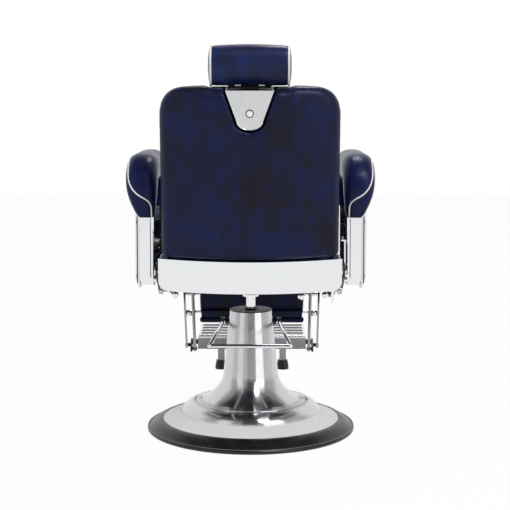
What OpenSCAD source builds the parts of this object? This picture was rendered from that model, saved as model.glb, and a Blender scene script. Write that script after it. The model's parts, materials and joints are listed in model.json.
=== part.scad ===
// Barber chair on a round pedestal, seen from behind in its reference view.
// Origin: centre of the base on the floor. +Z is up and the sitter faces -Y.

/* [Base] */
// Outer radius of the rubber floor ring
ring_r = 309; // [290:1:340]
// Width of the rubber ring
ring_w = 47; // [35:1:60]
// Height of the rubber ring at its inner edge
ring_h = 35; // [28:1:45]
// Height of the rounded outer lip of the ring
lip_h = 14; // [10:1:20]
// Thickness of the steel base plate
plate_t = 8; // [5:1:14]
// Height of the polished disc at its inner edge
disc_rise = 21; // [12:1:26]
// Width of the polished disc from its edge to the dome
disc_w = 57; // [40:1:70]
// Height of the dome
dome_h = 31; // [24:1:40]
// Width of the dome from its rim to the foot of the bell column
dome_w = 42; // [30:1:50]
// Radius of the column at its top
column_r = 62.5; // [56:0.5:72]
// How much wider the column is where its flare starts
column_taper = 19.5; // [8:0.5:26]
// Height of the flare at the foot of the column
flare_h = 78; // [50:1:100]
// Height of the top of the column above the floor
column_top = 357; // [340:1:380]
// Wall of the cast and spun shells
shell_t = 4; // [2.5:0.5:6]

/* [Lift and pump] */
// Radius of the lifting piston
piston_r = 14; // [12:0.5:20]
// Outer radius of the pump cylinder
cylinder_r = 24; // [22:0.5:25.5]
// Height of the pedal shaft
pedal_z = 316; // [304:1:330]
// Distance of the pedal shaft behind the piston
pedal_y = -34; // [-40:1:-34]
// Radius of the pedal shaft
pedal_shaft_r = 8; // [6:0.5:8]
// Half width of the pedal at its shaft
pedal_top_half = 91; // [80:1:100]
// Half width of the pedal's foot bar
pedal_foot_half = 113; // [100:1:118]
// Reach of the foot bar behind the piston
pedal_reach = 262; // [220:1:268]
// How far the foot bar hangs below the shaft
pedal_drop = 18; // [8:1:30]
// Radius of the pedal's round bar
pedal_bar_r = 5.5; // [4:0.5:7]

/* [Seat] */
// Half width of the seat cushion
seat_half = 260; // [235:1:261]
// Front edge of the seat, ahead of the piston
seat_front = 295; // [270:1:302]
// Rear edge of the seat, behind the piston
seat_rear = 112; // [90:1:114]
// Height of the seat cushion's underside
seat_bottom = 466; // [464:1:470]
// Height of the seat cushion's top at its edges
seat_top = 588; // [560:1:600]
// Crown of the seat cushion
seat_crown = 12; // [4:1:20]
// Inner face of the side plates from the middle
side_plate_x = 263; // [262:0.5:264]
// Thickness of the side plates
side_plate_t = 6; // [4:0.5:6]
// Depth of the seat rails
rail_h = 20; // [14:1:24]
// Width of the seat rails
rail_w = 30; // [24:1:36]

/* [Arms] */
// Inner face of the chrome arm frame from the middle
arm_in = 277; // [276:0.5:282]
// Width of the chrome arm frame
arm_w = 38; // [30:1:42]
// Thickness of the chrome arm frame
arm_t = 30; // [20:1:36]
// Centre of the rear upright behind the piston
arm_rear = 160; // [152:1:166]
// Centre of the front upright ahead of the piston
arm_front = 230; // [200:1:250]
// Height of the underside of the arm frame
arm_bottom = 449; // [445:1:455]
// Height where the pad meets the uprights
arm_joint = 650; // [635:1:665]
// Height of the top of the arm pad
arm_top = 833; // [815:1:860]
// Bulge of the arm's outer cover beyond the frame
cover_bulge = 30; // [12:1:34]
// Half width of the arm pad at its top
pad_half = 49.5; // [40:0.5:52]
// Half thickness of the arm pad at its top
pad_depth = 48; // [36:1:56]

/* [Back] */
// Recline axis behind the piston
pivot_y = 170; // [168:1:176]
// Height of the recline axis
pivot_z = 500; // [496:1:506]
// Lean of the back at rest in degrees
back_lean = 9.8; // [6:0.2:14]
// Half width of the back
back_half = 253; // [240:1:256]
// Lower edge of the back's upholstery along its lean
back_low = 51; // [44:1:56]
// Top of the back's upholstery along its lean
back_high = 530; // [505:1:532]
// Radius of the back's top corners
back_corner = 96; // [60:1:110]
// Rear surface of the back at its sides
back_edge = 53; // [50:1:60]
// How far the rear surface swells in the middle
back_swell = 35; // [20:1:38]
// Thickness of the front cushion of the back
front_pad_t = 60; // [45:1:64]
// Height of the chrome band below the upholstery
band_h = 93; // [75:1:95]
// Sheet thickness of the chrome band
band_t = 3; // [2:0.5:4]

/* [Headrest] */
// Half width of the headrest between its side seams
head_half = 106.5; // [90:0.5:120]
// How far the side panels bulge past the seams
head_bulge = 9; // [4:0.5:12]
// Height of the headrest
head_h = 108; // [95:1:120]
// Thickness of the headrest
head_t = 86; // [70:1:92]
// Width of the sliding tongue
tongue_w = 50; // [40:1:54]
// Thickness of the sliding tongue
tongue_t = 6; // [4:0.5:8]
// Half width of the rear plate at its top
shield_top_half = 66; // [56:1:72]
// Half width of the rear plate where its round end starts
shield_low_half = 36; // [34:1:42]
// Height of the rear plate
shield_h = 109; // [100:1:118]

/* [Leg rest] */
// Leg rest axis ahead of the piston
leg_y = 240; // [236:1:246]
// Height of the leg rest axis
leg_z = 440; // [436:1:444]
// Angle of the leg rest from vertical in degrees
leg_angle = 32.4; // [30:0.2:35]
// Distance from the leg rest axis to the footplate pins
leg_len = 318; // [300:1:330]
// Outer face of the leg side bars from the middle
leg_bar_x = 218; // [215:0.5:220]
// Distance of the thin rods from the middle
rod_x = 187; // [185:0.5:189]
// Radius of the thin rods
rod_r = 5; // [3.5:0.5:5.5]
// Half width of the calf pad
calf_half = 172; // [150:1:174]
// Length of the calf pad
calf_len = 135; // [110:1:150]
// Thickness of the calf pad
calf_t = 50; // [35:1:54]
// Half width of the footplate
foot_half = 178; // [160:1:179]
// Depth of the footplate from heel to toe
foot_depth = 250; // [200:1:270]

/* [Hidden] */

// Smoothness of round parts and of soft outlines
fine = 96;
medium = 40;
small = 28;
// Overrun of every cut past the face it opens
over = 1;
// Clearances of running fits and of flats that slide or lie side by side
run_gap = 0.05;
slip = 0.3;
// How far pins stand out of the part they pass through
pin_proud = 2;
// Width of the flange of a pin beyond its radius
pin_flange = 5;

// Colours
navy = [0.07, 0.10, 0.25];
chrome = [0.82, 0.83, 0.85];
satin = [0.62, 0.63, 0.65];
steel = [0.42, 0.43, 0.45];
black = [0.06, 0.06, 0.07];
brass = [0.72, 0.58, 0.30];

// Points of an arc in a plane
function arc(cx, cy, r, from, to, steps) =
    [for (i = [0:steps]) let (a = from + (to - from) * i / steps) [cx + r * cos(a), cy + r * sin(a)]];

// Outline of a rectangle with round corners, from its low to its high corner
corner_steps = 8;
function round_box(low, high, r) = concat(
    arc(high[0] - r, high[1] - r, r, 0, 90, corner_steps),
    arc(low[0] + r, high[1] - r, r, 90, 180, corner_steps),
    arc(low[0] + r, low[1] + r, r, 180, 270, corner_steps),
    arc(high[0] - r, low[1] + r, r, 270, 360, corner_steps));

// A closed skin through rings of equal size, closed at both ends by fans of triangles
function middle_of(ring) = [for (axis = [0:2])
    let (c = [for (p = ring) p[axis]]) c * [for (v = c) 1] / len(c)];
module skin(rings) {
    n = len(rings[0]);
    last = len(rings) - 1;
    first_mid = n * len(rings);
    points = concat([for (ring = rings) each ring], [middle_of(rings[0]), middle_of(rings[last])]);
    sides = [for (j = [0:last - 1], i = [0:n - 1])
        let (a = j * n + i, b = j * n + (i + 1) % n) each [[a, b, b + n], [a, b + n, a + n]]];
    ends = [for (i = [0:n - 1]) let (k = (i + 1) % n)
        each [[k, i, first_mid], [last * n + i, last * n + k, first_mid + 1]]];
    polyhedron(points = points, faces = concat(sides, ends), convexity = 6);
}

// A flat plate in the YZ plane, from x to x + t
module plate_x(points, x, t) {
    translate([x, 0, 0]) rotate([90, 0, 90]) linear_extrude(height = t) polygon(points);
}

// A rod along X between two distances from the middle
module rod_along_x(x0, x1, y, z, r) {
    translate([min(x0, x1), y, z]) rotate([0, 90, 0]) cylinder(r = r, h = abs(x1 - x0), $fn = medium);
}

// A round bar between two points
module bar_between(a, b, r) {
    d = b - a;
    translate(a) rotate([0, acos(d[2] / norm(d)), atan2(d[1], d[0])])
        cylinder(r = r, h = norm(d), $fn = small);
}

// Places children on the reclining back: y is its depth and z runs up its lean
module on_back() {
    translate([0, pivot_y, pivot_z]) rotate([-back_lean, 0, 0]) children();
}

// Places children on the leg rest: -z runs down its bars and -y faces forwards
module on_leg() {
    translate([0, -leg_y, leg_z]) rotate([-leg_angle, 0, 0]) children();
}

// Base: a steel plate in a rubber ring, with a disc, a dome and a bell column over it
disc_r = ring_r - ring_w;
dome_r = disc_r - disc_w;
bell_foot_r = dome_r - dome_w;
ledge_w = 6;
ledge_sink = 1;
ledge_z = ring_h - shell_t - ledge_sink;
disc_edge_z = ledge_z + shell_t;
disc_in_z = disc_edge_z + disc_rise;
dome_top = disc_in_z + dome_h;
lip_steps = 8;

module rubber_ring() {
    lip_r = lip_h / 2;
    color(black) rotate_extrude($fn = fine) polygon(concat(
        [[disc_r - ledge_w, 0]],
        arc(ring_r - lip_r, lip_r, lip_r, -90, 45, lip_steps),
        [for (i = [1:lip_steps]) let (s = i / lip_steps)
            [ring_r - lip_r - s * (ring_w - lip_r), lip_h + (ring_h - lip_h) * sin(90 * s)]],
        [[disc_r, disc_edge_z - shell_t], [disc_r - ledge_w, ledge_z]]));
}

module base_plate() {
    color(steel) difference() {
        cylinder(r = disc_r - ledge_w, h = plate_t, $fn = fine);
        bolt_ring(base_bolt_pcr, base_bolt_r, plate_t - base_bolt_depth, base_bolt_depth + over);
    }
}

module base_disc() {
    inner = bell_foot_r - ledge_w;
    color(chrome) rotate_extrude($fn = fine) polygon([
        [disc_r, disc_edge_z], [dome_r, disc_in_z], [inner, disc_in_z],
        [inner, disc_in_z - shell_t], [dome_r, disc_in_z - shell_t], [disc_r, disc_edge_z - shell_t]]);
}

// Profile of the dome, from its rim up to its flat top, drawn in by d
dome_steps = 10;
function dome_profile(d) = [for (i = [0:dome_steps]) let (a = 90 * i / dome_steps)
    [bell_foot_r + (dome_r - bell_foot_r - d) * cos(a), disc_in_z + (dome_h - d) * sin(a)]];

module base_dome() {
    inner = bell_foot_r - 3 * ledge_w;
    color(chrome) rotate_extrude($fn = fine) polygon(concat(
        dome_profile(0), [[inner, dome_top], [inner, dome_top - shell_t]],
        [for (i = [dome_steps:-1:0]) dome_profile(shell_t)[i]]));
}

// Profile of the bell column: a straight taper over a flare
bell_power = 1.6;
bell_spread = 0.8;
bell_steps = 14;
bell_inner_steps = 10;
bell_waist_r = column_r + column_taper;
bell_flare_z = dome_top + flare_h;
function bell_profile(d) = concat(
    [[column_r - d, column_top]],
    [for (i = [0:bell_steps]) let (s = pow(i / bell_steps, bell_spread), w = bell_foot_r - bell_waist_r)
        [bell_foot_r - w * pow(1 - pow(s, bell_power), 1 / bell_power) - (i < bell_steps ? d : 0),
         bell_flare_z - (flare_h - shell_t / 2) * s]]);

module column_shell() {
    inner = bell_profile(shell_t);
    color(satin) difference() {
        rotate_extrude($fn = fine) polygon(concat(bell_profile(0),
            [[bell_foot_r, dome_top], [0, dome_top], [0, column_top]]));
        rotate_extrude($fn = fine) polygon(concat(
            [[0, column_top + over], [column_r - shell_t, column_top + over]],
            [for (i = [1:bell_inner_steps]) inner[i]],
            [[inner[bell_inner_steps][0], dome_top - over], [0, dome_top - over]]));
        for (side = [-1, 1])
            rod_along_x(side * bush_in, side * (column_r + bush_out), pedal_y, pedal_z, bush_r);
    }
}

// Cap and seal round the piston
cap_lip = 3;
cap_plug = 11;
seal_w = 6;
module column_cap() {
    color(black) difference() {
        union() {
            translate([0, 0, column_top]) cylinder(r = column_r, h = cap_lip, $fn = fine);
            translate([0, 0, column_top - cap_plug])
                cylinder(r = column_r - shell_t - slip, h = cap_plug, $fn = fine);
        }
        translate([0, 0, column_top - cap_plug - over])
            cylinder(r = piston_r + seal_w, h = cap_plug + cap_lip + 2 * over, $fn = medium);
    }
}

module piston_seal() {
    color(black) translate([0, 0, column_top - cap_plug]) difference() {
        union() {
            cylinder(r = piston_r + seal_w, h = cap_plug + cap_lip, $fn = medium);
            translate([0, 0, cap_plug + cap_lip])
                cylinder(r1 = piston_r + seal_w, r2 = piston_r + seal_w / 2, h = cap_lip, $fn = medium);
        }
        translate([0, 0, -over])
            cylinder(r = piston_r + run_gap, h = cap_plug + 2 * cap_lip + 2 * over, $fn = medium);
    }
}

// Pump cylinder with its flange on the base plate
flange_r = 60;
flange_t = 8;
module pump_cylinder() {
    top = column_top - cap_plug;
    color(steel) difference() {
        union() {
            translate([0, 0, plate_t]) cylinder(r = cylinder_r, h = top - plate_t, $fn = medium);
            translate([0, 0, plate_t]) cylinder(r = flange_r, h = flange_t, $fn = medium);
        }
        translate([0, 0, plate_t + flange_t]) cylinder(r = piston_r + run_gap, h = top, $fn = medium);
        bolt_ring(base_bolt_pcr, base_bolt_r, plate_t - over, flange_t + 2 * over);
    }
}

base_bolt_pcr = 44;
base_bolt_r = 5;
base_bolt_depth = 5;
bolt_head_h = 6;
bolt_head_share = 1.7;
bolt_count = 4;
module bolt_ring(pcr, r, z, h) {
    for (i = [0:bolt_count - 1]) rotate([0, 0, 45 + 360 * i / bolt_count])
        translate([pcr, 0, z]) cylinder(r = r, h = h, $fn = small);
}

module base_bolts() {
    color(steel) {
        bolt_ring(base_bolt_pcr, base_bolt_r, plate_t - base_bolt_depth, base_bolt_depth + flange_t);
        bolt_ring(base_bolt_pcr, base_bolt_r * bolt_head_share, plate_t + flange_t, bolt_head_h);
    }
}

// Pump pedal: a cross shaft in two bushes, and a bent round bar
bush_t = 4;
bush_r = pedal_shaft_r + bush_t;
bush_in = 44;
bush_out = 4;
module pedal_bushes() {
    color(black) for (side = [-1, 1]) difference() {
        rod_along_x(side * bush_in, side * (column_r + bush_out), pedal_y, pedal_z, bush_r);
        rod_along_x(side * (bush_in - over), side * (column_r + bush_out + over), pedal_y, pedal_z,
            pedal_shaft_r + run_gap);
    }
}

module pedal_shaft() {
    reach = pedal_top_half - pedal_boss;
    color(steel) {
        rod_along_x(-reach, reach, pedal_y, pedal_z, pedal_shaft_r);
        for (side = [-1, 1]) rod_along_x(side * (column_r + bush_out + slip),
            side * (column_r + 2 * bush_out), pedal_y, pedal_z, bush_r);
    }
}

pedal_boss = 14;
corner_bead = 0.4;
module pump_pedal() {
    foot_z = pedal_z - pedal_drop;
    color(chrome) {
        for (side = [-1, 1]) {
            end = [side * pedal_foot_half, pedal_reach, foot_z];
            rod_along_x(side * (pedal_top_half - pedal_boss), side * (pedal_top_half + corner_bead),
                pedal_y, pedal_z, bush_r);
            bar_between([side * (pedal_top_half - pedal_boss / 2), pedal_y, pedal_z], end, pedal_bar_r);
            translate(end) sphere(r = pedal_bar_r + corner_bead, $fn = small);
        }
        bar_between([-pedal_foot_half, pedal_reach, foot_z], [pedal_foot_half, pedal_reach, foot_z],
            pedal_bar_r);
    }
}

// Piston with the collar that carries the seat's hub
collar_z = 399;
collar_h = 6;
washer_h = 3;
collar_r = 24;
piston_low = 70;
piston_in_hub = 32;
hub_z = collar_z + collar_h + washer_h + slip;
module piston() {
    color(chrome) {
        translate([0, 0, piston_low])
            cylinder(r = piston_r, h = hub_z + piston_in_hub - piston_low, $fn = medium);
        translate([0, 0, collar_z]) cylinder(r = collar_r, h = collar_h, $fn = medium);
    }
}

module thrust_washer() {
    color(brass) translate([0, 0, collar_z + collar_h]) difference() {
        cylinder(r = collar_r + washer_h, h = washer_h, $fn = medium);
        translate([0, 0, -over]) cylinder(r = piston_r, h = washer_h + 2 * over, $fn = medium);
    }
}

// Seat: hub, rails, pan and cushion
pan_t = 6;
rail_z = seat_bottom - pan_t - rail_h;
rail_x = 115;
front_rail_y = -180;
rear_rail_y = 60;
hub_r = 38;
hub_flange = [260, 150, 8];
hub_bolt_y = 55;
hub_bolt_r = 5;
module swivel_hub() {
    color(steel) difference() {
        union() {
            translate([0, 0, hub_z]) cylinder(r = hub_r, h = rail_z - hub_z, $fn = medium);
            translate([-hub_flange[0] / 2, -hub_flange[1] / 2, rail_z - hub_flange[2]]) cube(hub_flange);
        }
        translate([0, 0, hub_z - over])
            cylinder(r = piston_r + run_gap, h = rail_z - hub_z + 2 * over, $fn = medium);
        for (sx = [-1, 1], sy = [-1, 1])
            translate([sx * rail_x, sy * hub_bolt_y, rail_z - hub_flange[2] - over])
                cylinder(r = hub_bolt_r, h = hub_flange[2] + 2 * over, $fn = small);
    }
}

module hub_bolts() {
    color(steel) for (sx = [-1, 1], sy = [-1, 1])
        translate([sx * rail_x, sy * hub_bolt_y, rail_z - hub_flange[2]]) {
            cylinder(r = hub_bolt_r, h = hub_flange[2], $fn = small);
            translate([0, 0, -bolt_head_h])
                cylinder(r = hub_bolt_r * bolt_head_share, h = bolt_head_h, $fn = 6);
        }
}

module seat_rails() {
    color(steel) {
        for (side = [-1, 1]) translate([side * rail_x - rail_w / 2, front_rail_y + rail_w / 2, rail_z])
            cube([rail_w, rear_rail_y - front_rail_y - rail_w, rail_h]);
        for (y = [front_rail_y, rear_rail_y]) translate([-side_plate_x, y - rail_w / 2, rail_z])
            cube([2 * side_plate_x, rail_w, rail_h]);
        rod_ears();
    }
}

// Ears under the front rail that carry the tops of the thin rods
ear_t = 5;
rod_w = [24, -8];
rod_eye_r = 9;
rod_pin_r = 5;
module rod_ears() {
    top = [-leg_y, leg_z] + rod_w;
    face = front_rail_y - rail_w / 2;
    for (side = [-1, 1]) {
        x = side > 0 ? rod_x - rod_r - ear_t - slip : -rod_x + rod_r + slip;
        plate_x([[face, rail_z + rail_h], [face - ear_t, rail_z + rail_h],
            top + [-rod_eye_r, rod_eye_r], top + [-rod_eye_r, -rod_eye_r],
            top + [rod_eye_r, -rod_eye_r], [face, rail_z]], x, ear_t);
        rod_along_x(side * (rod_x - rod_r - slip), side * (rod_x + rod_r + ear_t),
            top[0], top[1], rod_pin_r);
    }
}

pan_side = 15;
pan_front = 12;
pan_rear = 4;
module seat_pan() {
    half = seat_half - pan_side;
    color(black) translate([-half, pan_front - seat_front, seat_bottom - pan_t])
        cube([2 * half, seat_front + seat_rear - pan_front - pan_rear, pan_t]);
}

// Rings of a cushion that lies flat: half sizes, corner radius, height, crown and pull of its sides
cushion_side_steps = 10;
corner_power = 0.32;
function cushion_ring(hx, hy, r, pull) = [for (q = [0:3], i = [0:cushion_side_steps - 1])
    let (a = 90 * (q + i / cushion_side_steps), p = corner_power,
         cx = sign(cos(a)) * pow(abs(cos(a)), p), cy = sign(sin(a)) * pow(abs(sin(a)), p),
         m = max(abs(cx), abs(cy)),
         x = cx / m * hx, y = cy / m * hy,
         over_x = abs(x) - (hx - r), over_y = abs(y) - (hy - r),
         k = over_x > 0 && over_y > 0 ? r / max(r, norm([over_x, over_y])) : 1,
         draw_x = pull * (1 - pow(y / hy, 2)) * (abs(x) > hx - r ? 1 : 0),
         draw_y = pull * (1 - pow(x / hx, 2)) * (abs(y) > hy - r ? 1 : 0))
    [k < 1 ? sign(x) * (hx - r + over_x * k) : x - sign(x) * draw_x,
     k < 1 ? sign(y) * (hy - r + over_y * k) : y - sign(y) * draw_y]];

// A cushion with rounded edges, drawn-in sides and a crowned face
edge_steps = 4;
face_shares = [0.86, 0.66, 0.4, 0.15];
module cushion(hx, hy, h, r, edge, crown, pull) {
    function level(inset, z) =
        [for (p = cushion_ring(hx - inset, hy - inset, max(r - inset, edge), pull)) [p[0], p[1], z]];
    function face_level(share, z, rise) = [for (p = cushion_ring(hx - edge, hy - edge, r, pull))
        [p[0] * share, p[1] * share, z + rise * (1 - pow(share, 2))]];
    skin(concat(
        [for (i = [0:edge_steps]) let (a = 90 * i / edge_steps)
            level(edge * (1 - sin(a)), edge * (1 - cos(a)))],
        [level(-pull / 3, h / 2)],
        [for (i = [0:edge_steps]) let (a = 90 * i / edge_steps)
            level(edge * (1 - cos(a)), h - edge + edge * sin(a))],
        [for (s = face_shares) face_level(s, h, crown)]));
}

seat_edge = 26;
seat_corner = 40;
seat_pull = 5;
module seat_cushion() {
    hy = (seat_front + seat_rear) / 2;
    color(navy) translate([0, (seat_rear - seat_front) / 2, seat_bottom])
        cushion(seat_half - seat_pull / 3, hy - seat_pull / 3, seat_top - seat_bottom,
            seat_corner, seat_edge, seat_crown, seat_pull);
}

// Side plates that carry the arms, the back and the leg rest
plate_ear_r = 22;
back_pin_r = 9;
leg_pin_r = 9;
spacer_r = 12;
spacer_y = [-150, 100];
spacer_z = arm_bottom + arm_t / 2;
module side_plate(side) {
    x = side > 0 ? side_plate_x : -side_plate_x - side_plate_t;
    color(steel) difference() {
        union() {
            plate_x([[-leg_y, leg_z - plate_ear_r], [-leg_y + plate_ear_r, leg_z - plate_ear_r],
                [front_rail_y, rail_z - ear_t], [rear_rail_y + rail_w, rail_z - ear_t],
                [pivot_y + plate_ear_r * 0.6, pivot_z - plate_ear_r * 0.8], [pivot_y, pivot_z + plate_ear_r],
                [rear_rail_y + rail_w, rail_z + 3 * rail_h], [-leg_y, leg_z + plate_ear_r]], x, side_plate_t);
            rod_along_x(x, x + side_plate_t, pivot_y, pivot_z, plate_ear_r);
            rod_along_x(x, x + side_plate_t, -leg_y, leg_z, plate_ear_r);
        }
        rod_along_x(x - over, x + side_plate_t + over, pivot_y, pivot_z, back_pin_r);
        rod_along_x(x - over, x + side_plate_t + over, -leg_y, leg_z, leg_pin_r + run_gap);
        if (side < 0) rod_along_x(x - over, x + side_plate_t + over, lever_y, lever_z, lever_pin_r + run_gap);
    }
}
module side_plate_left() { side_plate(1); }
module side_plate_right() { side_plate(-1); }

// Recline pins fixed in the side plates, with a spacer and an outer head
bracket_t = 6;
bracket_x = 248;
pin_head_t = 4;
module recline_pins() {
    color(chrome) for (side = [-1, 1]) {
        outer = side_plate_x + side_plate_t;
        rod_along_x(side * (bracket_x - pin_head_t), side * outer, pivot_y, pivot_z, back_pin_r);
        rod_along_x(side * (bracket_x + bracket_t + slip), side * side_plate_x,
            pivot_y, pivot_z, back_pin_r + pin_flange);
        rod_along_x(side * outer, side * (outer + pin_head_t),
            pivot_y, pivot_z, back_pin_r + pin_flange);
    }
}

// Arm frame: a wide chrome strap bent into a U below the pad
arm_bend = 55;
arm_bend_in = 37;
module arm_frame(side) {
    x = side > 0 ? arm_in : -arm_in - arm_w;
    outer_low = [-arm_front - arm_t / 2, arm_bottom];
    outer_high = [arm_rear + arm_t / 2, arm_top];
    color(chrome) difference() {
        plate_x(round_box(outer_low, outer_high, arm_bend), x, arm_w);
        plate_x(round_box(outer_low + [arm_t, arm_t], outer_high - [arm_t, arm_t], arm_bend_in),
            x - over, arm_w + 2 * over);
        translate([x - over, -seat_front - arm_w, arm_joint])
            cube([arm_w + 2 * over, 2 * seat_front, arm_top]);
    }
}
module arm_frame_left() { arm_frame(1); }
module arm_frame_right() { arm_frame(-1); }

// Outer cover: a bulged sheet between the uprights, round at its lower edge
cover_t = 3;
cover_bend = 46;
cover_drop = 6;
cover_low = arm_bottom - cover_drop;
cover_angle = -58;
function cover_section(d) = concat(
    [[arm_in + arm_w, cover_low + d]],
    arc(arm_in + arm_w + cover_bulge - cover_bend, cover_low + cover_bend, cover_bend - d,
        cover_angle, 0, corner_steps),
    [[arm_in + arm_w + cover_bulge - d, arm_joint - d], [arm_in + arm_w, arm_joint - d]]);
module cover_form(d) {
    half = (arm_front + arm_rear) / 2;
    r = (half * half + cover_bulge * cover_bulge) / (2 * cover_bulge);
    intersection() {
        translate([0, arm_rear, 0]) rotate([90, 0, 0]) linear_extrude(height = arm_front + arm_rear)
            polygon(cover_section(d));
        translate([arm_in + arm_w + cover_bulge - r, arm_rear - half, cover_low - over])
            cylinder(r = r - d, h = arm_joint - cover_low + 2 * over, $fn = fine * 4);
    }
}
module arm_cover(side) {
    color(chrome) mirror([side > 0 ? 0 : 1, 0, 0]) difference() {
        cover_form(0);
        translate([-over, 0, 0]) cover_form(cover_t);
    }
}
module arm_cover_left() { arm_cover(1); }
module arm_cover_right() { arm_cover(-1); }

// Arm pad: an upholstered roll bent down at both ends onto the uprights
pad_end_half = 27;
pad_end_depth = 22;
pad_bend = 70;
pad_in = 260;
pad_round_steps = 20;
pad_power = 2.6;
pad_straight_steps = 4;
pad_arc_steps = 7;
pad_top_steps = 4;
pad_grow_share = 0.84;
pad_line_z = arm_top - pad_depth;
pad_bend_z = pad_line_z - pad_bend;
function pad_path() = concat(
    [for (i = [0:pad_straight_steps])
        [arm_rear, arm_joint + (pad_bend_z - arm_joint) * i / pad_straight_steps, 0]],
    [for (i = [1:pad_arc_steps]) let (a = 90 * i / pad_arc_steps)
        [arm_rear - pad_bend * (1 - cos(a)), pad_bend_z + pad_bend * sin(a), a]],
    [for (i = [1:pad_top_steps - 1])
        [arm_rear - pad_bend - (arm_rear + arm_front - 2 * pad_bend) * i / pad_top_steps, pad_line_z, 90]],
    [for (i = [0:pad_arc_steps]) let (a = 90 * i / pad_arc_steps)
        [-arm_front + pad_bend * (1 - sin(a)), pad_bend_z + pad_bend * cos(a), 90 + a]],
    [for (i = [1:pad_straight_steps])
        [-arm_front, pad_bend_z - (pad_bend_z - arm_joint) * i / pad_straight_steps, 180]]);
function ease(t) = t < 0 ? 0 : t > 1 ? 1 : t * t * (3 - 2 * t);
function quick_ease(t) = t < 0 ? 0 : t > 1 ? 1 : 1 - (1 - t) * (1 - t);
function power_round(v, power) = sign(v) * pow(abs(v), 2 / power);
module arm_pad(side) {
    grow_h = pad_line_z - arm_joint;
    arm_x = arm_in + arm_w / 2;
    rings = [for (p = pad_path())
        let (g = quick_ease((p[1] - arm_joint) / (grow_h * pad_grow_share)),
             a = pad_end_half + (pad_half - pad_end_half) * g,
             b = pad_end_depth + (pad_depth - pad_end_depth) * ease((p[1] - arm_joint) / grow_h),
             c = arm_x + (pad_in + pad_half - arm_x) * g)
        [for (i = [0:pad_round_steps - 1])
            let (w = 360 * i / pad_round_steps,
                 u = power_round(cos(w), pad_power), v = power_round(sin(w), pad_power))
            [c + a * u, p[0] + b * v * cos(p[2]), p[1] + b * v * sin(p[2])]]];
    color(navy) mirror([side > 0 ? 0 : 1, 0, 0]) skin(rings);
}
module arm_pad_left() { arm_pad(1); }
module arm_pad_right() { arm_pad(-1); }

// Spacers and bolts that hold each arm frame to its side plate
module arm_bolts() {
    color(chrome) for (side = [-1, 1], y = spacer_y)
        rod_along_x(side * (side_plate_x + side_plate_t), side * arm_in, y, spacer_z, spacer_r);
}

// Recline cylinder under the rails, and its rod with a slotted yoke on the crank pin
crank = [25, -54];
crank_pin_r = 6;
crank_pin_t = 6.5;
cyl_x = 233;
cyl_r = 12;
cyl_rod_r = 5;
cyl_z = 424;
cyl_front = -60;
cyl_rear = 105;
recline_max = 40;
crank_turn = atan2(crank[0], -crank[1]);
stroke = norm(crank) * (sin(crank_turn) + sin(recline_max - crank_turn));
yoke_t = 8;
yoke_half = 12;
yoke_slot = 0.5;
module recline_cylinder() {
    clamp = 2 * cyl_r;
    barrel = cyl_rear - cyl_front;
    color(steel) {
        difference() {
            translate([-cyl_x, cyl_front, cyl_z]) rotate([-90, 0, 0])
                cylinder(r = cyl_r, h = barrel, $fn = medium);
            translate([-cyl_x, cyl_front + shell_t, cyl_z]) rotate([-90, 0, 0])
                cylinder(r = cyl_rod_r + run_gap, h = barrel, $fn = medium);
        }
        difference() {
            translate([-cyl_x - cyl_r - shell_t, rear_rail_y - clamp / 2, cyl_z])
                cube([2 * (cyl_r + shell_t), clamp, rail_z - cyl_z]);
            translate([-cyl_x, cyl_front, cyl_z]) rotate([-90, 0, 0])
                cylinder(r = cyl_r, h = barrel, $fn = medium);
        }
    }
}

module recline_rod() {
    pin_y = pivot_y + crank[0];
    pin_z = pivot_z + crank[1];
    low = cyl_z - yoke_half;
    start = cyl_front + shell_t + stroke + slip;
    slot_half = crank_pin_r + yoke_slot;
    drop = norm(crank) + crank[1] + crank_pin_r + 2 * yoke_slot;
    rise = crank_pin_r + 2 * yoke_slot;
    color(chrome) {
        translate([-cyl_x, start, cyl_z]) rotate([-90, 0, 0])
            cylinder(r = cyl_rod_r, h = pin_y - yoke_half - start, $fn = medium);
        difference() {
            translate([-cyl_x - yoke_t / 2, pin_y - yoke_half, low])
                cube([yoke_t, 2 * yoke_half, pin_z + crank_pin_r + yoke_half / 2 - low]);
            translate([-cyl_x - yoke_t, pin_y - slot_half, pin_z - drop])
                cube([2 * yoke_t, 2 * slot_half, drop + rise]);
        }
    }
}

// Back: a board with brackets, padded on both sides, over a chrome band
board_front = 10;
board_t = 10;
board_inset = 12;
board_rear = board_front + board_t;
housing_wall = 2;
housing_low = 376;
housing_high = 510;
tongue_v = 23;
pocket_half = tongue_w / 2 + slip + housing_wall;
swell_r = (back_half * back_half + back_swell * back_swell) / (2 * back_swell);
function rear_v(x) = back_edge + back_swell - (swell_r - sqrt(swell_r * swell_r - x * x));

module back_board() {
    half = back_half - board_inset;
    color(black) on_back() difference() {
        translate([0, board_rear, 0]) rotate([90, 0, 0]) linear_extrude(height = board_t)
            polygon(round_box([-half, back_low + slip], [half, back_high - board_inset],
                back_corner - board_inset));
        translate([-pocket_half - slip, board_front - over, housing_low - slip])
            cube([2 * (pocket_half + slip), board_t + 2 * over, back_high]);
    }
}

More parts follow.
